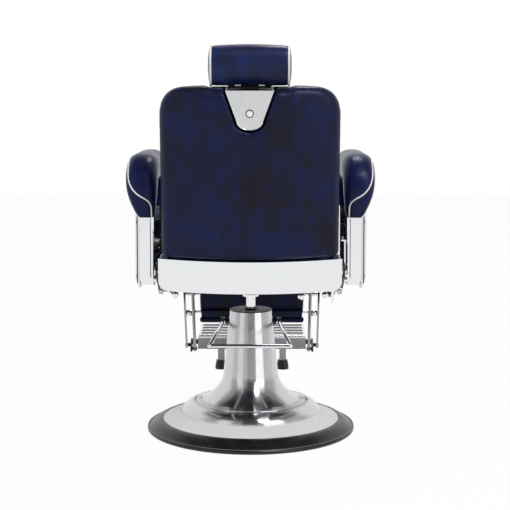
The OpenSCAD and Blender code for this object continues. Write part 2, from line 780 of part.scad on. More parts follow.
// Outline of the back: full round top corners, a crowned top edge and small lower corners
shoulder_power = 2.7;
low_corner = 14;
low_round_share = 0.25;
outline_steps = 9;
low_corner_steps = 3;
side_steps = 5;
crown_steps = 4;
low_steps = 6;
crown_top = 5;
inner_crown_share = 0.5;
function shoulder(x, u, r, start) = [for (i = [0:outline_steps]) let (a = start + 90 * i / outline_steps)
    [x + r * power_round(cos(a), shoulder_power), u + r * power_round(sin(a), shoulder_power)]];
function back_outline(d) =
    let (h = back_half - d, top = back_high - d, low = back_low + d * low_round_share,
         rt = back_corner - d, rl = max(low_corner - d / 2, low_corner / 4),
         rise = crown_top * (d < back_round ? 1 : inner_crown_share),
         flat = h - rt, foot = h - rl, side_h = top - rt - low - rl)
    concat(
        shoulder(h - rt, top - rt, rt, 0),
        [for (i = [1:crown_steps - 1]) let (s = 1 - 2 * i / crown_steps)
            [flat * s, top + rise * (1 - s * s)]],
        shoulder(-h + rt, top - rt, rt, 90),
        [for (i = [1:side_steps - 1]) let (s = i / side_steps)
            [-h, top - rt - side_h * s]],
        arc(-foot, low + rl, rl, 180, 270, low_corner_steps),
        [for (i = [1:low_steps - 1]) [-foot * (1 - 2 * i / low_steps), low]],
        arc(foot, low + rl, rl, 270, 360, low_corner_steps),
        [for (i = [1:side_steps - 1]) let (s = i / side_steps)
            [h, low + rl + side_h * s]]);
back_round = 26;
round_steps = 5;
back_face_shares = [0.8, 0.55, 0.3, 0.1];
middle_u = (back_high + back_low) / 2;

// Rear upholstery: swells rearwards, with rounded edges, cut round the rear plate
cover_inset = 1;
module back_cover() {
    cut_v = back_edge + 2 * back_swell;
    pocket_d = tongue_v + tongue_t / 2 + housing_wall + 2 * slip - board_front;
    edge_rings = [for (i = [0:round_steps]) let (a = 90 * i / round_steps)
        [for (p = back_outline(back_round * (1 - cos(a))))
            [p[0], rear_v(p[0]) - back_round + back_round * sin(a), p[1]]]];
    face_rings = [for (s = back_face_shares) [for (p = back_outline(back_round))
        [p[0] * s, rear_v(p[0] * s), middle_u + (p[1] - middle_u) * s]]];
    color(navy) on_back() difference() {
        skin(concat([[for (p = back_outline(cover_inset)) [p[0], board_rear + slip, p[1]]]],
            edge_rings, face_rings));
        translate([0, cut_v, 0]) rotate([90, 0, 0]) linear_extrude(height = cut_v - board_rear + over)
            polygon(shield_outline(-shield_gap, back_corner));
        translate([-pocket_half - slip, board_front, housing_low - slip])
            cube([2 * (pocket_half + slip), pocket_d, back_high]);
    }
}

// Front cushion: a flatter pad whose face is crowned
front_edge = 24;
front_crown = 8;
front_root_inset = 6;
front_side_inset = 2;
module back_cushion() {
    root = board_front - slip;
    face = root - front_pad_t + front_crown;
    rings = concat(
        [[for (p = back_outline(front_root_inset)) [p[0], root, p[1]]]],
        [[for (p = back_outline(front_side_inset)) [p[0], root - front_edge / 2, p[1]]]],
        [for (i = [0:round_steps]) let (a = 90 * i / round_steps)
            [for (p = back_outline(front_side_inset + front_edge * (1 - cos(a))))
                [p[0], face + front_edge * (1 - sin(a)), p[1]]]],
        [for (s = back_face_shares) [for (p = back_outline(front_side_inset + front_edge))
            [p[0] * s, face - front_crown * (1 - s * s), middle_u + (p[1] - middle_u) * s]]]);
    color(navy) on_back() skin([for (i = [len(rings) - 1:-1:0]) rings[i]]);
}

// Chrome band: a curved sheet with round lower corners
band_corner = 26;
band_half = 258;
band_gap = 1;
module back_band() {
    top = back_low - band_gap;
    low = top - band_h;
    r = swell_r + band_t;
    centre_v = back_edge + back_swell - swell_r;
    color(chrome) on_back() intersection() {
        translate([0, centre_v, low]) difference() {
            cylinder(r = r, h = band_h, $fn = 4 * fine);
            translate([0, 0, -over]) cylinder(r = swell_r, h = band_h + 2 * over, $fn = 4 * fine);
        }
        translate([0, r, 0]) rotate([90, 0, 0]) linear_extrude(height = r) polygon(concat(
            [[band_half, top], [-band_half, top]],
            arc(-band_half + band_corner, low + band_corner, band_corner, 180, 270, corner_steps),
            arc(band_half - band_corner, low + band_corner, band_corner, 270, 360, corner_steps)));
    }
}

// Side brackets of the back: a pivot ear, a tail that holds band and board, and a crank
foot_in = 14;
bracket_ear_r = 20;
bracket_angle = 110;
function back_yz(v, u) = [pivot_y + v * cos(back_lean) + u * sin(back_lean),
    pivot_z - v * sin(back_lean) + u * cos(back_lean)];
module back_bracket(side) {
    x = side > 0 ? bracket_x : -bracket_x - bracket_t;
    core = side * (bracket_x + bracket_t / 2);
    out = side * (bracket_x + bracket_t + crank_pin_t);
    pin_y = pivot_y + crank[0];
    pin_z = pivot_z + crank[1];
    turn = atan2(crank[1], crank[0]);
    tail = rear_v(bracket_x + bracket_t) - slip;
    tail_top = back_low - band_gap - slip;
    color(steel) difference() {
        union() {
            plate_x(concat(
                arc(pin_y, pin_z, spacer_r, turn - 90, turn + 90, 2 * corner_steps),
                [back_yz(tail, -back_pin_r), back_yz(tail, tail_top), back_yz(board_rear, tail_top)],
                arc(pivot_y, pivot_z, bracket_ear_r, bracket_angle, turn + 270, 2 * corner_steps)),
                x, bracket_t);
            on_back() translate([min(core, side * (bracket_x - foot_in)), board_front, tail_top - foot_in])
                cube([foot_in + bracket_t / 2, board_t, foot_in + band_gap + 2 * slip]);
            rod_along_x(core, out, pin_y, pin_z, crank_pin_r);
            if (side < 0) rod_along_x(core, -cyl_x + yoke_t, pin_y, pin_z, crank_pin_r);
        }
        rod_along_x(x - over, x + bracket_t + over, pivot_y, pivot_z, back_pin_r + run_gap);
    }
}
module back_bracket_left() { back_bracket(1); }
module back_bracket_right() { back_bracket(-1); }

// Rear plate of the headrest: straight tapered sides and a round lower end
shield_gap = 4;
shield_rise = 1;
shield_top = back_high + shield_rise;
shield_taper_share = 0.77;
shield_taper = shield_h * shield_taper_share;
shield_t = 3;
shield_sink = 5;
shield_v = back_edge + back_swell - shield_sink;
button_drop = 63;
button_u = shield_top - button_drop;
button_r = 8;
shield_steps = 12;
function shield_outline(d, rise) =
    let (low = shield_top - shield_taper, w = shield_low_half - d, h = shield_h - shield_taper - d)
    concat([[shield_top_half - d, shield_top], [shield_top_half - d, shield_top + rise],
        [-shield_top_half + d, shield_top + rise], [-shield_top_half + d, shield_top]],
        [for (i = [0:shield_steps]) let (a = 180 + 180 * i / shield_steps) [w * cos(a), low + h * sin(a)]]);

module headrest_shield() {
    depth = shield_v - tongue_v - tongue_t / 2 - housing_wall - 2 * slip;
    color(satin) on_back() difference() {
        translate([0, shield_v, 0]) rotate([90, 0, 0])
            linear_extrude(height = depth) polygon(shield_outline(0, slip));
        translate([0, shield_v - shield_t, 0]) rotate([90, 0, 0]) linear_extrude(height = depth + over)
            polygon(shield_outline(shield_t, over));
        translate([0, shield_v + over, button_u]) rotate([90, 0, 0])
            cylinder(r = button_r + run_gap, h = shield_t + 2 * over, $fn = medium);
    }
}

button_proud = 5;
button_stem = 26;
button_root = 1;
module release_button() {
    color(chrome) on_back() translate([0, shield_v, button_u]) rotate([90, 0, 0]) {
        translate([0, 0, -button_proud])
            cylinder(r = button_r, h = button_proud + shield_t + button_root, $fn = medium);
        cylinder(r = button_r / 2, h = button_stem, $fn = small);
    }
}

// Housing and tongue that the headrest slides on
tongue_low = 384;
tongue_high = 590;
module headrest_housing() {
    v0 = tongue_v - tongue_t / 2 - slip;
    inner = [tongue_w + 2 * slip, tongue_t + 2 * slip, housing_high - housing_low + 2 * over];
    outer = [2 * pocket_half, inner[1] + 2 * housing_wall, housing_high - housing_low];
    color(steel) on_back() difference() {
        translate([-outer[0] / 2, v0 - housing_wall, housing_low]) cube(outer);
        translate([-inner[0] / 2, v0, housing_low - over]) cube(inner);
    }
}

bracket_low = 530;
bracket_h = 4;
bracket_half = 60;
knuckle_r = 7;
head_axis = 590;
module headrest_tongue() {
    color(satin) on_back() {
        translate([-tongue_w / 2, tongue_v - tongue_t / 2, tongue_low])
            cube([tongue_w, tongue_t, tongue_high - tongue_low - knuckle_r / 2]);
        translate([-bracket_half, tongue_v - tongue_t, bracket_low])
            cube([2 * bracket_half, 5 * tongue_t, bracket_h]);
        rod_along_x(-tongue_w / 2, tongue_w / 2, tongue_v, head_axis, knuckle_r);
        rod_along_x(-tongue_w / 2 - knuckle_r, tongue_w / 2 + knuckle_r, tongue_v, head_axis, knuckle_r / 2);
    }
}

// Headrest: a board with two hinge ears, in a rounded pad with bulging side panels
head_low = 537;
head_board = [176, 6, 64];
head_ear_t = 6;
slot_half_w = 40;
slot_half_v = 19;
module headrest_board() {
    ear_x = tongue_w / 2 + slip;
    color(steel) on_back() difference() {
        union() {
            translate([-head_board[0] / 2, tongue_v - head_board[1] / 2, head_axis + 2 * knuckle_r])
                cube([head_board[0], head_board[1], head_board[2] / 2]);
            for (x = [ear_x, -ear_x - head_ear_t])
                translate([x, tongue_v - knuckle_r, head_axis - knuckle_r])
                    cube([head_ear_t, 2 * knuckle_r, 3 * knuckle_r]);
        }
        rod_along_x(-ear_x - 2 * head_ear_t, ear_x + 2 * head_ear_t, tongue_v, head_axis,
            knuckle_r / 2 + run_gap);
    }
}

head_round_steps = 28;
head_power = 2.7;
head_side_steps = 4;
head_mid_steps = 4;
head_end_share = 0.04;
head_swell_share = 0.012;
function head_ring(x, k) = [for (i = [0:head_round_steps - 1])
    let (w = 360 * i / head_round_steps,
         c = power_round(cos(w), head_power), s = power_round(sin(w), head_power))
    [x, tongue_v + head_t / 2 * k * c, head_low + head_h / 2 * (1 + k * s)]];
module headrest_pad() {
    side_rings = [for (i = [0:head_side_steps]) let (a = 90 * i / (head_side_steps + 1))
        [head_half + head_bulge * sin(a), head_end_share + (1 - head_end_share) * cos(a)]];
    seat_v = tongue_v - head_board[1] / 2 - slip;
    seat_u = head_axis + 2 * knuckle_r - slip;
    color(navy) on_back() difference() {
        skin(concat(
            [for (i = [head_side_steps:-1:0]) head_ring(-side_rings[i][0], side_rings[i][1])],
            [for (i = [1 - head_mid_steps:head_mid_steps - 1]) let (s = i / head_mid_steps)
                head_ring(head_half * s, 1 + head_swell_share * (1 - s * s))],
            [for (r = side_rings) head_ring(r[0], r[1])]));
        translate([-slot_half_w, tongue_v - slot_half_v, head_low - head_h])
            cube([2 * slot_half_w, 2 * slot_half_v, head_h + seat_u + slip - head_low]);
        translate([-head_board[0] / 2 - slip, seat_v, seat_u])
            cube([head_board[0] + 2 * slip, head_board[1] + 2 * slip, head_board[2] / 2 + 2 * slip]);
    }
}

// Recline lever beside the seat on the sitter's right
lever_y = 132;
lever_z = 486;
lever_pin_r = 6;
lever_t = 4;
lever_x = -side_plate_x - side_plate_t - lever_t - slip;
lever_w = 14;
grip_low = 593;
grip_high = 630;
grip_r = 8;
stem_x = -side_plate_x - grip_r / 4;
stem_low = grip_low - lever_w + lever_t;
module lever_arm() {
    strip_y = lever_y - lever_w / 2;
    color(chrome) {
        difference() {
            translate([lever_x, strip_y, lever_z]) cube([lever_t, lever_w, grip_low - lever_z - lever_w]);
            rod_along_x(lever_x - over, lever_x + lever_t + over, lever_y, lever_z, lever_pin_r);
        }
        rod_along_x(lever_x - pin_proud, pin_proud - side_plate_x, lever_y, lever_z, lever_pin_r);
        difference() {
            rod_along_x(lever_x, lever_x + lever_t, lever_y, lever_z, 2 * lever_pin_r);
            rod_along_x(lever_x - over, lever_x + lever_t + over, lever_y, lever_z, lever_pin_r);
            translate([lever_x - over, strip_y, lever_z]) cube([lever_t + 2 * over, lever_w, 3 * lever_w]);
        }
        translate([lever_x, strip_y, grip_low - lever_w])
            cube([stem_x + grip_r / 2 - lever_x, lever_w, lever_t]);
        translate([stem_x, lever_y, stem_low])
            cylinder(r = grip_r / 2, h = grip_high - grip_low, $fn = small);
    }
}

module lever_grip() {
    cone_z = grip_high - grip_r / 2;
    color(black) difference() {
        union() {
            translate([stem_x, lever_y, grip_low])
                cylinder(r = grip_r, h = cone_z - grip_low, $fn = medium);
            translate([stem_x, lever_y, cone_z])
                cylinder(r1 = grip_r, r2 = grip_r / 2, h = grip_r / 2, $fn = medium);
        }
        translate([stem_x, lever_y, grip_low - over])
            cylinder(r = grip_r / 2, h = stem_low + grip_high - 2 * grip_low + over, $fn = small);
    }
}

// Leg rest: a cross shaft with cranks, two flat side bars and a calf pad
leg_bar_t = 6;
leg_bar_w = 22;
leg_pin_end_r = 6;
calf_start = 75;
calf_lift = 10;
calf_board_t = 8;
leg_hub_t = 7;
leg_eye_t = 3;
module leg_shaft() {
    reach = side_plate_x + side_plate_t + pin_proud;
    turn = atan2(crank[1], crank[0]);
    pin_y = crank[0] - leg_y;
    pin_z = crank[1] + leg_z;
    color(steel) {
        rod_along_x(-reach, reach, -leg_y, leg_z, leg_pin_r);
        for (side = [-1, 1]) {
            x = side > 0 ? bracket_x : -bracket_x - bracket_t;
            difference() {
                plate_x(concat(
                    arc(pin_y, pin_z, spacer_r, turn - 90, turn + 90, 2 * corner_steps),
                    arc(-leg_y, leg_z, leg_pin_r + leg_hub_t, turn + 90, turn + 270, 2 * corner_steps)),
                    x, bracket_t);
                rod_along_x(x - over, x + bracket_t + over, -leg_y, leg_z, leg_pin_r);
            }
            rod_along_x(side * (bracket_x + bracket_t), side * (bracket_x + bracket_t + crank_pin_t),
                pin_y, pin_z, crank_pin_r);
        }
    }
}

module leg_bars() {
    color(chrome) for (side = [-1, 1]) {
        x = side > 0 ? leg_bar_x - leg_bar_t : -leg_bar_x;
        on_leg() difference() {
            union() {
                translate([x, -leg_bar_w / 2, -leg_len]) cube([leg_bar_t, leg_bar_w, leg_len]);
                rod_along_x(x, x + leg_bar_t, 0, 0, leg_bar_w / 2 + leg_eye_t);
                rod_along_x(x, x + leg_bar_t, 0, -leg_len, leg_bar_w / 2);
            }
            rod_along_x(x - over, x + leg_bar_t + over, 0, 0, leg_pin_r);
            rod_along_x(x - over, x + leg_bar_t + over, 0, -leg_len, leg_pin_end_r + run_gap);
        }
    }
}

// Calf pad on its board, with two cross strips bolted between the bars
calf_side = 8;
calf_end = 6;
calf_bolt_along = [100, 177];
calf_bolt_r = 6;
calf_stud_r = 4;
calf_bolt_len = 30;
strip_t = 8;
module calf_board() {
    half = calf_half - calf_side;
    color(black) on_leg()
        translate([-half, -calf_lift - calf_board_t, calf_end - calf_start - calf_len])
            cube([2 * half, calf_board_t, calf_len - 2 * calf_end]);
    color(steel) on_leg() for (s = calf_bolt_along)
        translate([-half, -calf_lift, -s - calf_bolt_r]) cube([2 * half, strip_t, 2 * calf_bolt_r]);
}

calf_edge = 14;
calf_corner = 22;
calf_crown = 6;
calf_pull = 3;
module calf_pad() {
    color(navy) on_leg() translate([0, -calf_lift - calf_board_t, -calf_start - calf_len / 2])
        rotate([90, 0, 0]) cushion(calf_half - calf_pull / 3, calf_len / 2 - calf_pull / 3,
            calf_t - calf_board_t, calf_corner, calf_edge, calf_crown, calf_pull);
}

module calf_bolts() {
    inner = leg_bar_x - leg_bar_t;
    v = strip_t / 2 - calf_lift;
    color(chrome) on_leg() for (side = [-1, 1], s = calf_bolt_along) {
        rod_along_x(side * (calf_half - calf_side), side * inner, v, -s, calf_stud_r);
        rod_along_x(side * (inner - calf_bolt_len), side * inner, v, -s, calf_bolt_r);
    }
}

// Links from the cranks of the back to the cranks of the leg rest
link_t = 4;
link_gap = 1;
link_half = 7;
link_eye_t = 5;
module recline_link(side) {
    x = side > 0 ? bracket_x + bracket_t + link_gap : -bracket_x - bracket_t - link_gap - link_t;
    rear = [pivot_y + crank[0], pivot_z + crank[1]];
    front = [-leg_y + crank[0], leg_z + crank[1]];
    dir = (rear - front) / norm(rear - front);
    side_way = [-dir[1], dir[0]] * link_half;
    color(steel) difference() {
        union() {
            plate_x([rear + side_way, front + side_way, front - side_way, rear - side_way], x, link_t);
            for (p = [rear, front]) rod_along_x(x, x + link_t, p[0], p[1], crank_pin_r + link_eye_t);
        }
        for (p = [rear, front])
            rod_along_x(x - over, x + link_t + over, p[0], p[1], crank_pin_r + run_gap);
    }
}
module link_left() { recline_link(1); }
module link_right() { recline_link(-1); }

// Thin rods that keep the footplate level
foot_axis = [-leg_y - leg_len * sin(leg_angle), leg_z - leg_len * cos(leg_angle)];
module foot_rods() {
    top = [-leg_y, leg_z] + rod_w;
    low = foot_axis + rod_w;
    color(chrome) for (side = [-1, 1]) difference() {
        union() {
            bar_between([side * rod_x, top[0], top[1]], [side * rod_x, low[0], low[1]], rod_r);
            for (p = [top, low])
                rod_along_x(side * (rod_x - rod_r), side * (rod_x + rod_r), p[0], p[1], rod_eye_r);
        }
        for (p = [top, low])
            rod_along_x(side * (rod_x - 2 * rod_r), side * (rod_x + 2 * rod_r),
                p[0], p[1], rod_pin_r + run_gap);
    }
}

// Footplate: a ribbed tread with a heel skirt, cheeks, two posts and rubber tips
tread_rise = 24.5;
tread_z = foot_axis[1] + tread_rise;
tread_t = 4;
tread_back = 12.4;
tread_rear = foot_axis[0] + tread_back;
rib_count = 5;
rib_h = 3;
rib_w = 8;
skirt_h = 36;
flange_drop = 18;
skirt_t = 3;
cheek_x = 196;
cheek_t = 6;
tube_r = 8;
tube_ahead = 13.6;
tube_y = foot_axis[0] - tube_ahead;
tube_rise = 8;
tube_z = foot_axis[1] + tube_rise;
module footplate() {
    front = tread_rear - foot_depth;
    pitch = foot_depth / rib_count;
    color(satin) {
        translate([-foot_half, front, tread_z]) cube([2 * foot_half, foot_depth, tread_t]);
        for (i = [0:rib_count - 1])
            translate([rib_w - foot_half, front + pitch * (i + 0.5) - rib_w / 2, tread_z + tread_t])
                cube([2 * (foot_half - rib_w), rib_w, rib_h]);
        difference() {
            for (side = [-1, 1])
                translate([side > 0 ? foot_half - skirt_t : -foot_half, front, tread_z - flange_drop])
                    cube([skirt_t, foot_depth - skirt_t, flange_drop]);
            rod_along_x(-cheek_x, cheek_x, tube_y, tube_z, tube_r + slip);
        }
        translate([-foot_half, front, tread_z - flange_drop]) cube([2 * foot_half, skirt_t, flange_drop]);
    }
}

module heel_skirt() {
    color(satin) translate([-foot_half, tread_rear - skirt_t, tread_z - skirt_h])
        cube([2 * foot_half, skirt_t, skirt_h]);
}

// Cross tube and cheeks that hold the footplate on its pins
cheek_lip = 2;
module foot_pins() {
    low = foot_axis + rod_w;
    cheek_front = tube_y - tube_r - cheek_lip;
    cheek_top = foot_axis[1] + 2 * rod_eye_r;
    color(steel) {
        rod_along_x(-cheek_x, cheek_x, tube_y, tube_z, tube_r);
        for (side = [-1, 1]) {
            x = side > 0 ? cheek_x : -cheek_x - cheek_t;
            plate_x([low + [rod_eye_r, -rod_eye_r], low + [rod_eye_r, rod_eye_r],
                [foot_axis[0], cheek_top], [cheek_front, cheek_top],
                [cheek_front, low[1] - rod_eye_r]], x, cheek_t);
            rod_along_x(side * (cheek_x + cheek_t), side * (leg_bar_x + pin_proud),
                foot_axis[0], foot_axis[1], leg_pin_end_r);
            rod_along_x(side * (rod_x - rod_r - pin_proud), side * cheek_x, low[0], low[1], rod_pin_r);
        }
    }
}

post_x = 102;
post_half = 11;
post_ahead = 29.6;
post_y = foot_axis[0] - post_ahead;
post_len = 90;
post_low = tread_z - post_len;
tip_h = 20;
tip_low = post_low - tip_h;
tip_r = 20;
tip_neck_r = 16;
module foot_posts() {
    color(satin) for (side = [-1, 1]) difference() {
        translate([side * post_x - post_half, post_y - post_half, post_low])
            cube([2 * post_half, 2 * post_half, tread_z - post_low]);
        rod_along_x(-cheek_x, cheek_x, tube_y, tube_z, tube_r);
    }
}

module foot_tips() {
    color(black) for (side = [-1, 1]) translate([side * post_x, post_y, tip_low]) difference() {
        union() {
            cylinder(r = tip_r, h = tip_r / 2, $fn = medium);
            translate([0, 0, tip_r / 2])
                cylinder(r1 = tip_r, r2 = tip_neck_r, h = post_low - tip_low, $fn = medium);
        }
        translate([-post_half, -post_half, post_low - tip_low]) cube([2 * post_half, 2 * post_half, tip_r]);
    }
}

rubber_ring();
base_plate();
base_disc();
base_dome();
column_shell();
column_cap();
piston_seal();
pump_cylinder();
pedal_bushes();
base_bolts();
pedal_shaft();
pump_pedal();
piston();
thrust_washer();
swivel_hub();
hub_bolts();
seat_rails();
seat_pan();
seat_cushion();
side_plate_left();
side_plate_right();
recline_pins();
arm_frame_left();
arm_frame_right();
arm_cover_left();
arm_cover_right();
arm_pad_left();
arm_pad_right();
arm_bolts();
recline_cylinder();
recline_rod();
back_board();
back_cushion();
back_cover();
back_band();
back_bracket_left();
back_bracket_right();
headrest_housing();
headrest_shield();
release_button();
headrest_tongue();
headrest_board();
headrest_pad();
lever_arm();
lever_grip();
leg_shaft();
leg_bars();
calf_board();
calf_pad();
calf_bolts();
link_left();
link_right();
foot_rods();
footplate();
heel_skirt();
foot_pins();
foot_posts();
foot_tips();
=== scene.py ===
"""Looks of a hydraulic barber chair: navy leather with white piping, chrome and polished aluminium.

Metres, +Z up, the sitter faces -Y, so the photographed rear is on the +Y side.
"""

import json
import math

import bmesh
import bpy
import numpy as np
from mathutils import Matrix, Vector
from mathutils.bvhtree import BVHTree
from mathutils.kdtree import KDTree


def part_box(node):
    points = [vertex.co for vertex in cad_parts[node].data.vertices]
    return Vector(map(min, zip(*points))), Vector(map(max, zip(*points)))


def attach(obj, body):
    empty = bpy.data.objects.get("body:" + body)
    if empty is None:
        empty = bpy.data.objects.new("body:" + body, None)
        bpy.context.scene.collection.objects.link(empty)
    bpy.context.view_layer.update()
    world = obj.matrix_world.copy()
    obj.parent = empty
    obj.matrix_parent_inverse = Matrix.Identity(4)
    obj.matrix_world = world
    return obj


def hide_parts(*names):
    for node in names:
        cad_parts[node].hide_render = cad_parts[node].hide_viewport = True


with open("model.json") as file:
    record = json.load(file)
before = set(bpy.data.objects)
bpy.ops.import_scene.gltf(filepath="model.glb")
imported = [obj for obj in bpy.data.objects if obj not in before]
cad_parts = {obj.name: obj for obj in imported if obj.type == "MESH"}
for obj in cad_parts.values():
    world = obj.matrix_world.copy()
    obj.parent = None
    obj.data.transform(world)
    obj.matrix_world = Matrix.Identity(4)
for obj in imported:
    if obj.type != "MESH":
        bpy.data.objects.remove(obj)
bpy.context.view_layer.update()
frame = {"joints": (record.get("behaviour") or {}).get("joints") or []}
joints = {j["name"]: j for j in frame["joints"]}

# Back: its recline axis, lean and upholstery, as in the construction
BACK_AXIS = np.array(joints["back_recline"]["pos_m"])
BACK_LEAN = math.radians(9.8)
BACK_HALF = 0.253
BACK_LOW = 0.051
BACK_HIGH = 0.530
BACK_RISE = 0.008
BACK_CROWN = 0.005
BACK_CORNER = 0.096
SHOULDER_POWER = 2.7
RISE_START, RISE_RUN = 0.099, 0.030
BACK_MIDDLE = (BACK_HIGH + BACK_LOW) / 2
BACK_EDGE = 0.053
BACK_SWELL = 0.035
BACK_ROUND = 0.026
BOARD_FRONT = 0.010
BOARD_REAR = 0.020
BAND_LOW = -0.050
SWELL_R = (BACK_HALF ** 2 + BACK_SWELL ** 2) / (2 * BACK_SWELL)

# Rear plate, button and headrest
SHIELD_TOP = 0.531
SHIELD_H = 0.109
SHIELD_TAPER = 0.084
SHIELD_TOP_HALF = 0.066
SHIELD_LOW_HALF = 0.036
SHIELD_V = BACK_EDGE + BACK_SWELL - 0.005
SHIELD_GAP = 0.004
TONGUE_V = 0.023
HEAD_HALF = 0.1065
HEAD_BULGE = 0.009
HEAD_LOW = 0.537
HEAD_H = 0.108
HEAD_T = 0.086
HEAD_POWER = 2.7
SLOT_HALF, SLOT_DEEP, SLOT_HIGH = 0.0405, 0.0195, 0.604
BUTTON_U, BUTTON_SEAT_R = 0.468, 0.0102

# Arms
ARM_IN = 0.277
ARM_W = 0.038
ARM_T = 0.030
ARM_REAR = 0.160
ARM_FRONT = 0.230
ARM_BOTTOM = 0.449
ARM_JOINT = 0.650
ARM_TOP = 0.833
ARM_OUTSIDE = 0.42
COVER_Y, COVER_PANEL, COVER_HIGH = -0.035, 0.304, 0.201
PAD_IN = 0.260
PAD_HALF = 0.0495
PAD_DEPTH = 0.048
PAD_END_HALF = 0.027
PAD_END_DEPTH = 0.022
PAD_BEND = 0.070
PAD_POWER = 2.6
PIPING_R, PIPING_STEP = 0.0024, 0.004

# Leg rest
LEG_AXIS = np.array(joints["legrest_raise"]["pos_m"])
LEG_ANGLE = math.radians(32.4)
CALF_START = 0.075
CALF_COVER = 0.147
CALF_LOW = 0.135
ROLLER_S = 0.177

# Base: the lip of the floor ring
RING_LIP_R, RING_LIP_Z = 0.3065, 0.0135

# Leather as cloth under pressure
LEATHER_CLOTH = {"quality": 5, "mass": 0.3, "tension_stiffness": 25, "compression_stiffness": 25,
                 "shear_stiffness": 15, "bending_stiffness": 1.5, "use_pressure": True}
CLOTH_FRAMES = 20

SIDES = (("left", 1), ("right", -1))


def turns(steps):
    """Angles round a full circle, in radians."""
    return np.linspace(0, 2 * math.pi, steps, endpoint=False)


def quarter(steps):
    """Angles from 0 to 90 degrees, in radians."""
    return np.radians(np.linspace(0, 90, steps))


def smooth_step(t):
    """0 to 1 with an even start and end."""
    t = np.clip(t, 0, 1)
    return t * t * (3 - 2 * t)


def arc(cx, cy, r, start, end, steps):
    """Points of an arc round (cx, cy), its ends in degrees."""
    angles = np.radians(np.linspace(start, end, steps + 1))
    return np.stack([cx + r * np.cos(angles), cy + r * np.sin(angles)], 1)


def power_round(value, power):
    """A sine or cosine pushed out, so that a round section turns squarer as the power grows."""
    return np.sign(value) * np.abs(value) ** (2 / power)


def leaned(points, axis, lean):
    """Points given as (across, depth, height along the lean) from an axis, in the row frame."""
    x, v, u = np.asarray(points, float).T
    c, s = math.cos(lean), math.sin(lean)
    return np.stack([x, axis[1] + v * c + u * s, axis[2] - v * s + u * c], 1)


def on_back(points):
    return leaned(points, BACK_AXIS, BACK_LEAN)


def on_leg(points):
    """Points given as (across, depth, distance down the side bars) of the leg rest."""
    return leaned(np.asarray(points, float) * (1, 1, -1), LEG_AXIS, LEG_ANGLE)


def depth_in(co, axis, lean):
    """How far points lie behind a leaning plane through the axis."""
    return (co[:, 1] - axis[1]) * math.cos(lean) - (co[:, 2] - axis[2]) * math.sin(lean)


def rear_v(x):
    """Depth of the back's swelled rear face."""
    return BACK_EDGE + BACK_SWELL - (SWELL_R - np.sqrt(SWELL_R ** 2 - np.asarray(x) ** 2))


def added(name, data):
    """A new object of the scene."""
    obj = bpy.data.objects.new(name, data)
    bpy.context.scene.collection.objects.link(obj)
    return obj


def mesh_object(name, points, faces=(), edges=()):
    mesh = bpy.data.meshes.new(name)
    mesh.from_pydata([tuple(p) for p in points], edges, faces)
    mesh.validate()
    mesh.update()
    mesh.shade_smooth()
    return added(name, mesh)


def face_outwards(obj):
    work = bmesh.new()
    work.from_mesh(obj.data)
    bmesh.ops.remove_doubles(work, verts=work.verts, dist=1e-6)
    bmesh.ops.recalc_face_normals(work, faces=work.faces)
    work.to_mesh(obj.data)
    work.free()
    return obj


def loft(name, rings):
    """A closed skin through rings of equal size."""
    rings = [np.asarray(r, float) for r in rings]
    n, m = len(rings[0]), len(rings)
    points = np.concatenate(rings + [[rings[0].mean(0)], [rings[-1].mean(0)]])
    faces = []
    for j in range(m - 1):
        for i in range(n):
            k = (i + 1) % n
            faces.append((j * n + i, j * n + k, (j + 1) * n + k, (j + 1) * n + i))
    for i in range(n):
        k = (i + 1) % n
        faces.append((k, i, n * m))
        faces.append(((m - 1) * n + i, (m - 1) * n + k, n * m + 1))
    return face_outwards(mesh_object(name, points, faces))


def resample(path, count, closed=False):
    """Points spread evenly along a path."""
    path = np.asarray(path, float)
    if closed:
        path = np.concatenate([path, path[:1]])
    along = np.concatenate([[0], np.cumsum(np.linalg.norm(np.diff(path, axis=0), axis=1))])
    at = np.linspace(0, along[-1], count, endpoint=not closed)
    return np.stack([np.interp(at, along, path[:, k]) for k in range(3)], 1)


def evaluated(obj):
    """The object with its modifiers applied, as a plain mesh under the same name."""
    graph = bpy.context.evaluated_depsgraph_get()
    mesh = bpy.data.meshes.new_from_object(obj.evaluated_get(graph))
    old = obj.data
    obj.modifiers.clear()
    obj.data = mesh
    bpy.data.meshes.remove(old)
    return obj


def modify(obj, kind, **settings):
    modifier = obj.modifiers.new(kind.title(), kind)
    for key, value in settings.items():
        setattr(modifier, key, value)
    return modifier


def cut(obj, cutter):
    modify(obj, "BOOLEAN", operation="DIFFERENCE", object=cutter, solver="EXACT")
    evaluated(obj)
    bpy.data.objects.remove(cutter)


def coordinates(obj):
    co = np.empty(len(obj.data.vertices) * 3)
    obj.data.vertices.foreach_get("co", co)
    return co.reshape(-1, 3)


def set_coordinates(obj, co):
    obj.data.vertices.foreach_set("co", np.asarray(co, float).ravel())
    obj.data.update()


def evened(obj, move, rounds):
    """Each point's move blended with its neighbours', so that a tight cover shows no wrinkles."""
    ends = np.empty(2 * len(obj.data.edges), int)
    obj.data.edges.foreach_get("vertices", ends)
    a, b = ends.reshape(-1, 2).T
    n = len(move)
    count = (np.bincount(a, minlength=n) + np.bincount(b, minlength=n))[:, None]
    for _ in range(rounds):
        near = np.stack([np.bincount(a, move[b, k], n) + np.bincount(b, move[a, k], n)
                         for k in range(3)], 1)
        move = (move + near / count) / 2
    return move


